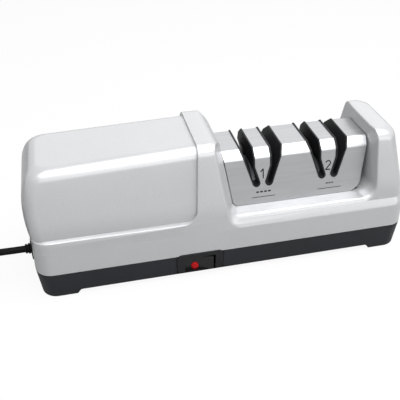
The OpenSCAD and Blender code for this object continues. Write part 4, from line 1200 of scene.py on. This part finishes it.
@dataclass
class BaseTray:
    """The dark tray: a tapered tub that stands on a block at each end."""

    form: BodyForm
    belly_z: float = 4.0
    floor: float = 2.2
    foot_x: float = 102.5
    foot_run: float = 4.0 * math.tan(math.radians(37))
    taper_x: float = 2.0
    taper_y: float = 0.8
    ground: float = 0.3
    low_edge: float = 1.0
    high_edge: float = 0.5
    lip_gap: float = 0.4
    wall: float = 2.2
    tongue: tuple[float, float] = (2.65, 3.8)
    tongue_low: float = 2.0
    tongue_high: float = 2.4
    post_lift: float = 0.4
    arch_y: float = 45.0
    screw_r: float = 3.05
    post_bore_r: float = 1.7
    post_hole_z: tuple[float, ...] = (-1.0, 7.6, 7.61, 21.0)
    hatch_bore_r: float = 1.6
    hatch_hole_z: tuple[float, ...] = (3.0, 5.7, 5.71, 7.2)
    hatch_holes: tuple[tuple[float, float], ...] = ((16.0, 0.0), (77.0, 0.0))
    cord_way: tuple[float, float] = (-127.0, -120.6)
    pad_x: float = 114.0
    pad_y: float = 28.0
    pad_r: float = 5.75

    @property
    def top(self) -> float:
        """Height of the tub's rim."""
        return self.form.seam_z - self.lip_gap

    def tub(self, d: float, low: float, high: float) -> bpy.types.Object:
        """Tapered tub: at each height the plan is a rounded rectangle whose draw runs from the
        taper at the ground to nothing at the rim; its outer edges are rounded off.

        Args:
            d: How far the surface is set in; the edges are square where it is.
            low: Height of its bottom.
            high: Height of its top.

        Returns:
            The closed form.
        """
        f = self.form
        if d:
            z, edge = np.array([low, high]), np.zeros(2)
        else:
            t = np.radians(np.linspace(0, 90, 5))
            a, b = self.low_edge, self.high_edge
            z = np.concatenate([low + a - a * np.cos(t), np.linspace(low + a, high - b, 6)[1:-1],
                                high - b + b * np.sin(t)])
            edge = np.concatenate([a - a * np.sin(t), np.zeros(4), b - b * np.cos(t)])
        draw = np.clip((self.top - z) / (self.top - self.ground), 0, 1)
        x = f.half_l - self.taper_x * draw - d - edge
        y = f.half_w - self.taper_y * draw - d - edge
        r = np.maximum(f.corner_r - draw - d - edge, 0.5)
        return skin("tub", rounded_rings(z, -x, x, y, r, r))

    def band(self, d: float, low: float, high: float) -> bpy.types.Object:
        """Straight prism of the body's plan, for the tongue inside the housing's wall.

        Args:
            d: How far the plan is set in.
            low: Height of its bottom.
            high: Height of its top.

        Returns:
            The closed form.
        """
        f = self.form
        x, y = f.half_l - d, f.half_w - d
        return prism("band", round_rect(-x, x, -y, y, f.corner_r - d + 0.25), (low, high), Axis.Z)

    def build(self) -> bpy.types.Object:
        """The tub with its inside, its arch between the feet, and the seats of what it carries.

        Returns:
            The finished piece.
        """
        f, top = self.form, self.top
        outside, inside = self.tongue
        tray = self.tub(0.0, self.ground, top)
        ring = combine(self.band(outside, top - self.tongue_low, top + self.tongue_high),
                       self.band(inside, top - 3, top + 3), Cut.DIFFERENCE)
        hollow = self.tub(self.wall, self.belly_z + self.floor, f.seam_z + 1)
        tray = combine(combine(tray, hollow, Cut.DIFFERENCE), ring, Cut.UNION)
        rise = self.belly_z + self.post_lift, f.seam_z
        tray = combine_at(tray, Cut.UNION, f.posts, rise, f.post_r)
        left = np.array([[-self.foot_x - 3, -4], [-self.foot_x, 0],
                         [-self.foot_x + self.foot_run, self.belly_z]])
        arch = filleted(np.vstack([left, left[::-1] * [-1, 1]]), [0.8, 2.0, 2.0, 0.8])
        arch_mesh = prism("arch", arch, (-self.arch_y, self.arch_y), Axis.Y)
        tray = combine(tray, arch_mesh, Cut.DIFFERENCE)
        tray = combine_at(tray, Cut.DIFFERENCE, f.posts, self.post_hole_z,
                          (self.screw_r, self.screw_r, self.post_bore_r, self.post_bore_r), 32)
        pads = four(self.pad_x, self.pad_y)
        tray = combine_at(tray, Cut.DIFFERENCE, pads, (-1.0, 2.0), self.pad_r)
        for name, low, high in (
                ("switch_seat", (f.switch_x0, -41, 4.55), (f.switch_x1, -34.0, 24.4)),
                ("rocker_room", (-32, -36, 4.6), (-9.2, -30.0, 8.0)),
                ("cleanout", (20, -20, 3.0), (73, 20, 7.2))):
            tray = combine(tray, box_mesh(name, low, high), Cut.DIFFERENCE)
        tray = combine_at(tray, Cut.DIFFERENCE, self.hatch_holes, self.hatch_hole_z,
                          (self.screw_r, self.screw_r, self.hatch_bore_r, self.hatch_bore_r), 32)
        way = lathe("cord_hole", self.cord_way, f.cord_hole_r, (f.cord_y, f.cord_z), Axis.X)
        tray = combine(tray, way, Cut.DIFFERENCE)
        tray.name = "tray_shell"
        return shade(tray)


# ---------------------------------------------------------------- steel guide cover


@dataclass
class GuideCover:
    """The folded steel sheet with four slanted slots, which stands in the trough."""

    form: BodyForm
    top_z: float = 79.0
    top_y: float = 12.8
    sheet: float = 0.8
    bend_r: float = 3.4
    lift: float = 0.05
    seat: float = 0.25
    right_lean: float = 0.144
    stages: tuple[float, float] = (25.4, 71.0)
    top_out: float = 14.4
    top_in: float = 5.2
    slot_bend_z: float = 68.5
    slot_bend_r: float = 6.0
    slot_w: float = 5.2
    slot_lean: float = math.radians(18)
    slot_floor_z: float = 54.8
    slot_ease: float = 0.1

    def section(self) -> Array:
        """Outline of the folded sheet: its outer face, then its inner one, which lies a sheet's
        thickness along the normals.

        Returns:
            One row of Y and Z for each point of the closed outline.
        """
        f = self.form
        half = [[f.guide_foot_y, f.sill_z + self.lift], [f.guide_shoulder_y, f.guide_shoulder_z],
                [self.top_y, self.top_z]]
        corners = half + [[-y, z] for y, z in half[::-1]]
        outer = filleted(corners, [self.bend_r] * 4, 8)
        way = np.gradient(outer, axis=0)
        way /= np.linalg.norm(way, axis=1, keepdims=True)
        inner = outer + np.column_stack([-way[:, 1], way[:, 0]]) * self.sheet
        inner[0, 1] = inner[-1, 1] = f.sill_z + self.lift
        return np.vstack([outer, inner[::-1]])

    def slot(self, x: float, side: int) -> bpy.types.Object:
        """Cutter of one slot: upright at its inner edge down to the bend, then slanted to a round
        end, carried along Y through the whole guide.

        Args:
            x: Middle of the slot's stage.
            side: -1 for the left slot, 1 for the right one.

        Returns:
            The closed cutter, a little wider than the slot in the guide under the sheet.
        """
        r = self.slot_w / 2
        low_in = self.top_in - (self.slot_bend_z - self.slot_floor_z - r) * math.tan(self.slot_lean)
        cx, cz = low_in + r / math.cos(self.slot_lean), self.slot_floor_z + r
        turn = math.degrees(self.slot_lean)
        end = arc(cx, cz, r + self.slot_ease, -turn, -180 - turn, 20)[::-1]
        wide, near, top = self.top_out + self.slot_ease, self.top_in - self.slot_ease, self.top_z
        inner = filleted([[near, top + 6], [near, self.slot_bend_z], end[0]], [self.slot_bend_r])
        outer = filleted([end[-1], [wide, top], [wide, top + 8]], [self.slot_bend_r])
        outline = np.vstack([[[wide, top + 8], [near, top + 8]], inner[1:-1], end, outer[1:-1]])
        outline[:, 0] = x + side * outline[:, 0]
        return prism("slot", outline[::-side], (-39.0, 39.0), Axis.Y)

    def build(self) -> bpy.types.Object:
        """The folded sheet, cut to the trough's outline and slotted.

        Returns:
            The finished piece.
        """
        f, seat, top = self.form, self.seat, self.top_z + 5
        sheet = prism("guide_sheet", self.section(), (-10.0, 110.0), Axis.X)
        x0, x1 = f.trough_x0 + seat, f.trough_x1 - seat
        left_r, right_r = f.trough_left_r, f.trough_right_r
        r0, r1 = left_r - seat, right_r - seat
        outline = np.vstack([
            [[x0 - (top - f.sill_z) * f.trough_lean, top]],
            arc(x0 - left_r * f.trough_lean + r0, f.sill_z + left_r, r0, 180, 270, 10),
            arc(x1 + right_r * self.right_lean - r1, f.sill_z + right_r, r1, 270, 360, 14),
            [[x1 + (top - f.sill_z) * self.right_lean, top]]])
        trim = prism("outline", outline[::-1], (-30.0, 30.0), Axis.Y)
        sheet = combine(sheet, trim, Cut.INTERSECT)
        for x in self.stages:
            for side in (-1, 1):
                sheet = combine(sheet, self.slot(x, side), Cut.DIFFERENCE)
        return shade(sheet, 25)


@dataclass
class StageMarks:
    """Plain numbers and dashes printed on the steel's front face, one set for each stage."""

    guide: GuideCover
    proud: float = 0.04
    depth: float = 0.2
    number_z: float = 60.0
    number_h: float = 6.6
    number_w: float = 0.8
    dash_z: float = 51.0
    dash_w: float = 1.0
    line_z: float = 47.5
    line_w: float = 0.4

    def ribbon(self, path: Array, width: float) -> bpy.types.Object:
        """Stroke along a path: its edges lie half a width along the path's normals.

        Args:
            path: One row of X and Z for each point.
            width: The stroke's width.

        Returns:
            A thin closed strip that lies in the face and stands a little proud of it.
        """
        way = np.gradient(path, axis=0)
        way /= np.linalg.norm(way, axis=1, keepdims=True)
        side = np.column_stack([-way[:, 1], way[:, 0]]) * width / 2

        def at(flat: Array, out: float) -> Array:
            """Puts points on the face.

            Args:
                flat: X and Z of each point.
                out: How far it stands out of the face.

            Returns:
                One row of X, Y, Z for each point.
            """
            y = -self.guide.form.guide_y(flat[:, 1]) - out
            return np.column_stack([flat[:, 0], y, flat[:, 1]])

        rings = [at(path + side, self.proud), at(path - side, self.proud),
                 at(path - side, -self.depth), at(path + side, -self.depth)]
        return skin("stroke", np.stack(rings, axis=1))

    def build(self) -> bpy.types.Object:
        """Number 1 over long dashes, number 2 over short ones, and a hairline under each.

        Returns:
            The finished piece.
        """
        one, two = self.guide.stages
        z, top = self.number_z, self.number_z + self.number_h
        flag = np.array([[one - 1.5, top - 1.9], [one - 0.6, top - 1.2], [one + 0.2, top - 0.1]])
        stem = np.array([[one + 0.35, z], [one + 0.35, top]])
        bowl = arc(two, top - 1.75, 1.6, 165, -35, 14)
        curl = filleted([bowl[-1], [two - 0.2, z + 2.3], [two - 1.8, z + 0.5]], [1.0], 4)
        foot = np.array([[two - 1.9, z + 0.4], [two + 1.6, z + 0.4]])
        strokes = [(path, self.number_w) for path in (flag, stem, bowl, curl, foot)]
        for middle, count, length, pitch, line in (
                (one + 0.4, 4, 1.9, 2.7, 16.0), (two + 1.3, 5, 0.7, 1.15, 17.0)):
            for k in range(count):
                start = middle + (k - (count - 1) / 2) * pitch - length / 2
                dash = np.array([[start, self.dash_z], [start + length, self.dash_z]])
                strokes.append((dash, self.dash_w))
            rule = np.array([[middle - line / 2, self.line_z], [middle + line / 2, self.line_z]])
            strokes.append((rule, self.line_w))
        marks = self.ribbon(*strokes[0])
        for path, width in strokes[1:]:
            marks = combine(marks, self.ribbon(path, width), Cut.UNION)
        marks.name = "stage_marks"
        return marks


# ---------------------------------------------------------------- switch


@dataclass
class Switch:
    """The rocker switch at the seam: bezel, rocker and red lens."""

    x: float = -20.6
    z: float = 10.4
    pivot_y: float = -34.2
    tilt: float = math.radians(10)
    bezel_l: float = 31.5
    bezel_low: float = 4.6
    bezel_high: float = 20.2
    bezel_r: float = 3.6
    bezel_edge: float = 0.6
    hole_side: float = 0.6
    hole_low: float = 0.25
    hole_high: float = 1.3
    face_y: float = -39.4
    thick: float = 2.4
    rocker_l: float = 19.4
    rocker_h: float = 10.4
    rocker_edge: float = 0.5
    rocker_face: float = 3.2
    rocker_dish: float = 1.2
    rocker_lip: float = 4.1
    rocker_back: float = 1.6
    axle_r: float = 1.2
    axle_reach: float = 5.6
    lens_r: float = 2.5
    lens_tall: float = 1.18
    lens_drop: float = 2.1
    lens_shift: float = 2.0

    def bezel(self) -> bpy.types.Object:
        """Frame with rounded corners and a soft front edge; its rings run from back to front.

        Returns:
            The finished piece.
        """
        t, edge = np.radians(np.linspace(0, 90, 6)), self.bezel_edge
        y = np.concatenate([[self.face_y + self.thick], self.face_y + edge - edge * np.sin(t)])
        inset = np.concatenate([[0.0], edge - edge * np.cos(t)])
        left, right = self.x - self.bezel_l / 2, self.x + self.bezel_l / 2
        plans = [round_rect(left + d, right - d, self.bezel_low + d, self.bezel_high - d,
                            self.bezel_r - d) for d in inset]
        hole = round_rect(self.x - self.rocker_l / 2 - self.hole_side,
                          self.x + self.rocker_l / 2 + self.hole_side,
                          self.z - self.rocker_h / 2 - self.hole_low,
                          self.z + self.rocker_h / 2 + self.hole_high, 0.5, 5)
        return shade(combine(stacked("bezel_frame", plans, y, Axis.Y),
                             prism("hole", hole, (-30.0, -45.0), Axis.Y), Cut.DIFFERENCE))

    def turned(self, points: Array) -> Array:
        """Turns points about the rocker's pivot and puts them in place.

        Args:
            points: X, Y, Z from the pivot, in the rocker's own frame.

        Returns:
            X, Y, Z in the object's frame.
        """
        c, s = math.cos(-self.tilt), math.sin(-self.tilt)
        x = self.x + c * points[..., 0] - s * points[..., 1]
        y = self.pivot_y + s * points[..., 0] + c * points[..., 1]
        return np.stack([x, y, self.z + points[..., 2]], -1)

    def rocker(self) -> bpy.types.Object:
        """The rocker: a hollow front face that is a parabola between two lips, with soft edges;
        its rings are the same outline, drawn in towards both ends.

        Returns:
            The finished piece.
        """
        r, top, edge = self.rocker_l / 2, self.rocker_h / 2, self.rocker_edge
        u = np.linspace(-1, 1, 25)
        face = np.column_stack([u * (r - 0.45), -self.rocker_face - self.rocker_dish * u * u])
        lip = np.array([[-r + 1, self.rocker_back], [-r + 0.1, -self.rocker_face],
                        [-r + 0.15, -self.rocker_lip]])
        back = np.column_stack([np.linspace(r - 1.8, -r + 1.8, 7),
                                3.2 - 1.4 * np.linspace(-1, 1, 7)**2])
        outline = np.vstack([lip, face, lip[::-1] * [-1, 1], back])
        t = np.radians(np.linspace(0, 90, 5))
        z = np.concatenate([-top + edge - edge * np.cos(t), top - edge + edge * np.sin(t)])
        inset = np.concatenate([edge - edge * np.sin(t), edge - edge * np.cos(t)])
        scale = 1 - inset[:, None] / np.array([[r, 4.0]])
        middle = np.array([0.0, -0.6])
        xy = middle + (outline - middle)[None] * scale[:, None]
        rings = np.concatenate([xy, np.broadcast_to(z[:, None, None], xy.shape[:2] + (1,))], -1)
        axle = lathe("axle", (self.z - self.axle_reach, self.z + self.axle_reach), self.axle_r,
                     (self.x, self.pivot_y), Axis.Z, 24)
        return shade(combine(skin("rocker_cap", self.turned(rings)), axle, Cut.UNION), 40)

    def lens(self) -> bpy.types.Object:
        """The red lens: a low oval dome, its height falling with the square of the radius.

        Returns:
            The finished piece.
        """
        angle = 2 * np.pi * np.arange(40) / 40
        r = self.lens_r * np.array([1.0, 1.0, 0.94, 0.81, 0.62, 0.38, 0.12])
        y = np.array([-1.5, -3.72, -3.95, -4.12, -4.24, -4.32, -4.35])
        x = -self.rocker_l / 4 + self.lens_shift + r[:, None] * np.cos(angle)
        z = self.lens_tall * r[:, None] * np.sin(angle) - self.lens_drop
        rings = np.stack([x, np.broadcast_to(y[:, None], x.shape), z], -1)
        return shade(skin("lens_dome", self.turned(rings)), 50)


# ---------------------------------------------------------------- springs


@dataclass
class DiscSpring:
    """The helical spring between the two hubs of a stage. It is made in two halves, one on each
    side of its middle."""

    form: BodyForm
    stage: int
    middle: float
    half: float = 2.05
    radius: float = 5.4
    wire: float = 0.9
    coils: int = 3
    travel: float = 1.2

    @property
    def keep(self) -> float:
        """Share of a half's length that is left when its disc is pushed right back."""
        return 1 - self.travel / (self.half + self.wire / 2)

    @property
    def anchor(self) -> tuple[float, float, float]:
        """The spring's middle in metres, which stays in place."""
        return self.middle * MM, 0.0, self.form.shaft_z * MM

    def coil(self, side: str, way: int) -> bpy.types.Object:
        """One half: the wire's middle line is a helix round X, from the middle outwards.

        Args:
            side: Name of the side.
            way: -1 for the left half, 1 for the right one.

        Returns:
            The wire as a closed tube.
        """
        run = way * np.linspace(0, 1, 37)
        angle = np.pi * self.coils * (1 + run)
        line = np.column_stack([self.middle + self.half * run, self.radius * np.cos(angle),
                                self.form.shaft_z + self.radius * np.sin(angle)])
        return shade(tube(f"spring_{self.stage}_{side}", line, self.wire / 2, 10), 60)


# ---------------------------------------------------------------- cord


@dataclass
class MainsCord:
    """The black mains cord: grommet, free stretch, flat coil of two layers, tail and plug."""

    form: BodyForm
    exit_x: float = -131.5
    diameter: float = 4.5
    coil_x: float = -204.0
    coil_r: float = 19.0
    pitch: float = 4.95
    turns: float = 3.25
    rest: float = 2.3
    tail: float = 24.0
    plug_l: float = 34.0
    boot_l: float = 14.0
    plug_w: float = 26.0
    plug_t: float = 14.0
    plug_face_r: float = 1.2
    plug_boot_r: float = 3.0
    waist: float = 1.5
    waist_at: float = 20.0
    waist_run: float = 7.0
    boot_r: float = 4.4
    boot_taper: float = 1.3
    boot_groove: float = 0.55

    @property
    def exit(self) -> tuple[float, float, float]:
        """The place in metres where the cord leaves the grommet."""
        return self.exit_x * MM, self.form.cord_y * MM, self.form.cord_z * MM

    @property
    def tail_x(self) -> float:
        """X where the tail leaves the coil."""
        return self.coil_x - self.diameter

    def path(self) -> Array:
        """The cord's route: down from the exit, a spiral inwards and one outwards on top of it,
        each a radius that changes by the pitch in a turn, and a straight tail.

        Returns:
            One row of X, Y, Z for each point, in millimetres, from the exit to the plug's boot.
        """
        f = self.form
        run = np.array([[0, 0], [8, 0], [17, 0], [25, -0.9], [33, -3.8], [41, -8.6], [49, -14.6],
                        [56, -18.8], [62, -21]], float)
        lead = np.column_stack([self.exit_x - run[:, 0], np.full(len(run), f.cord_y),
                                f.cord_z + run[:, 1]])
        flat = np.array([[-197.5, f.cord_y, self.rest]])
        u = np.arange(0, 2 * self.turns + 0.5 + 1e-6, 1 / 48)
        a = np.radians(-90 - 360 * u)
        climb = np.clip(u - self.turns, 0, 0.5)
        radius = (self.coil_r + self.pitch * np.abs(np.clip(u, 0, self.turns) - self.turns)
                  + self.pitch * np.maximum(0, u - self.turns - 0.5)
                  - 0.7 * np.sin(2 * np.pi * climb))
        coil_y = f.cord_y + self.coil_r + self.turns * self.pitch
        coil = np.column_stack([self.coil_x + radius * np.cos(a), coil_y + radius * np.sin(a),
                                self.rest + self.pitch * 2 * climb])
        k = np.array([0.3, 0.45, 0.7, 0.9, 1.0])
        high = self.rest + self.pitch
        rise = high + (self.plug_t / 2 - high) * bent(k)
        out = np.column_stack([self.tail_x - self.tail * k, np.full(len(k), f.cord_y), rise])
        return np.vstack([lead, flat, coil, out])

    def cord(self) -> tuple[bpy.types.Object, Array]:
        """The whole cord as one smooth tube.

        Returns:
            The tube, and its middle line in millimetres.
        """
        line = resampled(self.path(), 2.0)
        return shade(tube("mains_cord", line, self.diameter / 2, 14), 60), line

    def grommet(self) -> bpy.types.Object:
        """Flange with rounded edges on the housing's end, and a ribbed nub that the cord leaves.

        Returns:
            The finished piece.
        """
        y, z = centre = self.form.cord_y, self.form.cord_z
        x = (-127.75, -127.72, -127.62, -127.45, -127.2, -126.25)
        plans = [round_rect(y - 5 + d, y + 5 - d, z - 7.25 + d, z + 7.25 - d, 3.0 - d)
                 for d in (0.7, 0.4, 0.22, 0.08, 0.0, 0.0)]
        flange = stacked("cord_grommet", plans, x, Axis.X)
        nub = lathe("nub", (-131.5, -131.3, -130.6, -130.3, -129.7, -129.4, -128.8, -128.5, -127.6),
                    (2.9, 3.1, 3.2, 2.75, 2.85, 3.5, 3.6, 3.1, 3.4), centre, Axis.X, 40)
        neck = lathe("neck", (-127.5, -119.6), 4.75, centre, Axis.X, 40)
        return shade(combine(combine(flange, nub, Cut.UNION), neck, Cut.UNION), 40)

    def plug(self) -> bpy.types.Object:
        """The plug: rounded oblong sections along X, drawn in at both ends and waisted for the
        fingers, and a tapered boot with grooves.

        Returns:
            The finished piece.
        """
        y, middle = self.form.cord_y, self.plug_t / 2
        x1 = self.tail_x - self.tail - self.boot_l
        x0 = x1 - self.plug_l
        t = np.radians(np.linspace(0, 90, 7))
        a, b = self.plug_face_r, self.plug_boot_r
        x = np.concatenate([x0 + a - a * np.cos(t), np.linspace(x0 + a, x1 - b, 13)[1:-1],
                            x1 - b + b * np.sin(t)])
        inset = np.concatenate([a - a * np.sin(t), np.zeros(11), b - b * np.cos(t)])
        pull = self.waist * np.exp(-((x - x0 - self.waist_at) / self.waist_run)**2)
        half = self.plug_w / 2 - inset - pull
        tall = middle - np.minimum(inset, 2.2)
        corner = 5.0 - np.minimum(inset, 2.0)
        plans = [round_rect(y - w, y + w, middle - h, middle + h, r)
                 for w, h, r in zip(half, tall, corner)]
        body = stacked("plug_body", plans, x, Axis.X)
        end = x1 + self.boot_l
        along = np.concatenate([[x1 - 2.0], x1 + np.arange(0, 13, 1.0), [end - 0.2, end]])
        taper = self.boot_r - self.boot_taper * np.clip((along - x1) / self.boot_l, 0, 1)
        grooved = (np.arange(len(along)) % 3 == 2) & (along < x1 + 12)
        groove = np.where(grooved, self.boot_groove, 0.0)
        boot = lathe("boot", along, taper - groove, (y, middle), Axis.X, 36)
        return shade(combine(body, boot, Cut.UNION), 40)


# ---------------------------------------------------------------- studio


@dataclass(frozen=True)
class Lamp:
    """An oblong soft lamp: its place, the spot that it points at and its size in metres, and its
    power in watts."""

    name: str
    place: tuple[float, float, float]
    aim: tuple[float, float, float]
    size: tuple[float, float]
    power: float

    def build(self) -> None:
        """Puts the lamp into the scene."""
        data = bpy.data.lights.new(self.name, "AREA")
        data.shape = "RECTANGLE"
        data.size, data.size_y = self.size
        data.energy = self.power
        item = bpy.data.objects.new(self.name, data)
        item.location = self.place
        way = Vector(self.aim) - Vector(self.place)
        item.rotation_euler = way.to_track_quat("-Z", "Y").to_euler()
        bpy.context.scene.collection.objects.link(item)


LAMPS: tuple[Lamp, ...] = (
    Lamp("top_lamp", (0.1, -0.15, 0.72), (0.0, 0.0, 0.05), (1.0, 0.7), 9.6),
    Lamp("front_lamp", (0.18, -0.85, 0.47), (0.0, 0.0, 0.05), (0.95, 0.42), 2.2),
    Lamp("side_lamp", (0.75, -0.6, 0.3), (0.1, 0.0, 0.05), (0.35, 0.35), 0.7),
    Lamp("back_lamp", (0.25, 1.0, 0.65), (0.04, 0.0, 0.06), (1.3, 0.6), 1.0),
)


@dataclass
class Studio:
    """Camera, floor and light, which aren't part of the object."""

    eye: tuple[float, float, float] = (-0.08917, -0.33371, 0.27742)
    look: tuple[float, float, float] = (0.1840, 0.7942, -0.5791)
    lens: float = 54.41
    sensor: float = 36.0
    ambient: float = 0.2
    floor_colour: str = "#B6B6B6"
    floor_half: float = 6000.0
    floor_glow: float = 1.05
    glow_share: float = 0.88

    def camera(self) -> None:
        """The photograph's camera."""
        data = bpy.data.cameras.new("camera")
        data.lens = self.lens
        data.sensor_width = self.sensor
        item = bpy.data.objects.new("camera", data)
        item.location = self.eye
        item.rotation_euler = Vector(self.look).to_track_quat("-Z", "Y").to_euler()
        bpy.context.scene.collection.objects.link(item)
        bpy.context.scene.camera = item

    def light(self) -> None:
        """The lamps and an even surrounding, which the camera, metal and glass see as white."""
        for lamp in LAMPS:
            lamp.build()
        world = bpy.data.worlds.new("surrounding")
        world.use_nodes = True
        tree = world.node_tree
        back = tree.nodes["Background"]
        back.inputs["Color"].default_value = (1, 1, 1, 1)
        path = add_node(tree, "ShaderNodeLightPath", {})
        seen = path.outputs["Is Camera Ray"]
        for ray in ("Is Transmission Ray", "Is Glossy Ray"):
            either = add_node(tree, "ShaderNodeMath", {0: seen, 1: path.outputs[ray]},
                              operation="MAXIMUM")
            seen = either.outputs[0]
        level = add_node(tree, "ShaderNodeMapRange", {
            "Value": seen, "To Min": self.ambient, "To Max": 1.0})
        tree.links.new(level.outputs[0], back.inputs["Strength"])
        bpy.context.scene.world = world

    def floor(self) -> None:
        """A wide plain floor that shows white where no shadow lies."""
        far = self.floor_half
        item = mesh_object("floor", np.array([[-far, -far, 0], [far, -far, 0], [far, far, 0],
                                              [-far, far, 0]]), [[0, 1, 2, 3]])
        material = bpy.data.materials.new("pale_floor")
        material.use_nodes = True
        tree = material.node_tree
        shader = tree.nodes["Principled BSDF"]
        shader.inputs["Base Color"].default_value = linear(self.floor_colour)
        shader.inputs["Roughness"].default_value = 0.9
        glow = add_node(tree, "ShaderNodeEmission", {
            "Color": (1, 1, 1, 1), "Strength": self.floor_glow})
        path = add_node(tree, "ShaderNodeLightPath", {})
        seen = add_node(tree, "ShaderNodeMath", {
            0: path.outputs["Is Camera Ray"], 1: self.glow_share}, operation="MULTIPLY")
        mix = add_node(tree, "ShaderNodeMixShader", {
            0: seen.outputs[0], 1: shader.outputs[0], 2: glow.outputs[0]})
        tree.links.new(mix.outputs[0], tree.nodes["Material Output"].inputs["Surface"])
        item.data.materials.append(material)


# ---------------------------------------------------------------- assembly


@dataclass
class Workshop:
    """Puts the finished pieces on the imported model."""

    frame: dict
    finishes: dict[str, bpy.types.Material]

    def fit(self, item: bpy.types.Object, body: str, finish: str, *nodes: str) -> bpy.types.Object:
        """Gives a piece its finish and body, and hides the nodes that it stands for.

        Args:
            item: The piece.
            body: Name of the body that it rides on.
            finish: Name of its finish and material slot.
            *nodes: Names of the nodes that it replaces.

        Returns:
            The piece.
        """
        item.data.materials.clear()
        item.data.materials.append(self.finishes[finish])
        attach(item, body)
        if nodes:
            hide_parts(*nodes)
        LOG.info("%s: %d faces on %s", item.name, len(item.data.polygons), body)
        return item

    def dress_nodes(self) -> None:
        """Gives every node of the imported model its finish."""
        for part in self.frame["record"]["subparts"]:
            data = self.frame["nodes"][part["node"]].data
            data.materials.clear()
            data.materials.append(self.finishes[part["material_slot"]])

    def add_cord(self, flex: MainsCord) -> None:
        """Adds the cord with its grommet and plug.

        Args:
            flex: The cord.
        """
        cord_piece, line = flex.cord()
        self.fit(cord_piece, "body", "cord_rubber", "power_cord", "cord_coil", "cord_tail")
        grommet = self.fit(flex.grommet(), "body", "cord_rubber", "strain_relief")
        plug = self.fit(flex.plug(), "body", "cord_rubber", "mains_plug")

    def add_spring(self, spring: DiscSpring) -> None:
        """Adds both halves of a spring.

        Args:
            spring: The spring; its left half stands for the node.
        """
        halves = (("left", -1, (f"disc_spring_{spring.stage}",)), ("right", 1, ()))
        for side, way, nodes in halves:
            wire = self.fit(spring.coil(side, way), "rotor", "steel", *nodes)
            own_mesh(wire)


def main() -> None:
    """Builds the camera and the cord, then each sub-assembly."""
    logging.basicConfig(level=logging.INFO, format="%(message)s")
    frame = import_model()
    studio = Studio()
    studio.camera()
    shop = Workshop(frame, {f.name: f.build() for f in FINISHES})
    shop.dress_nodes()

    form = BodyForm()
    shop.add_cord(MainsCord(form))
    shop.fit(Housing(form).build(), "body", "pearl_plastic", "housing")
    shop.fit(BaseTray(form).build(), "body", "dark_plastic", "base_tray")
    guide = GuideCover(form)
    shop.fit(guide.build(), "body", "brushed_steel", "guide_cover")
    shop.fit(StageMarks(guide).build(), "body", "black_plastic")
    switch = Switch()
    shop.fit(switch.bezel(), "body", "black_plastic", "switch_bezel")
    shop.fit(switch.rocker(), "switch_rocker", "black_gloss", "rocker")
    shop.fit(switch.lens(), "switch_rocker", "red_lens", "rocker_lens")
    for stage, middle in enumerate(guide.stages, 1):
        shop.add_spring(DiscSpring(form, stage, middle))

    studio.floor()
    studio.light()
    bpy.context.scene.view_settings.view_transform = "Standard"


if __name__ == "__main__":
    main()
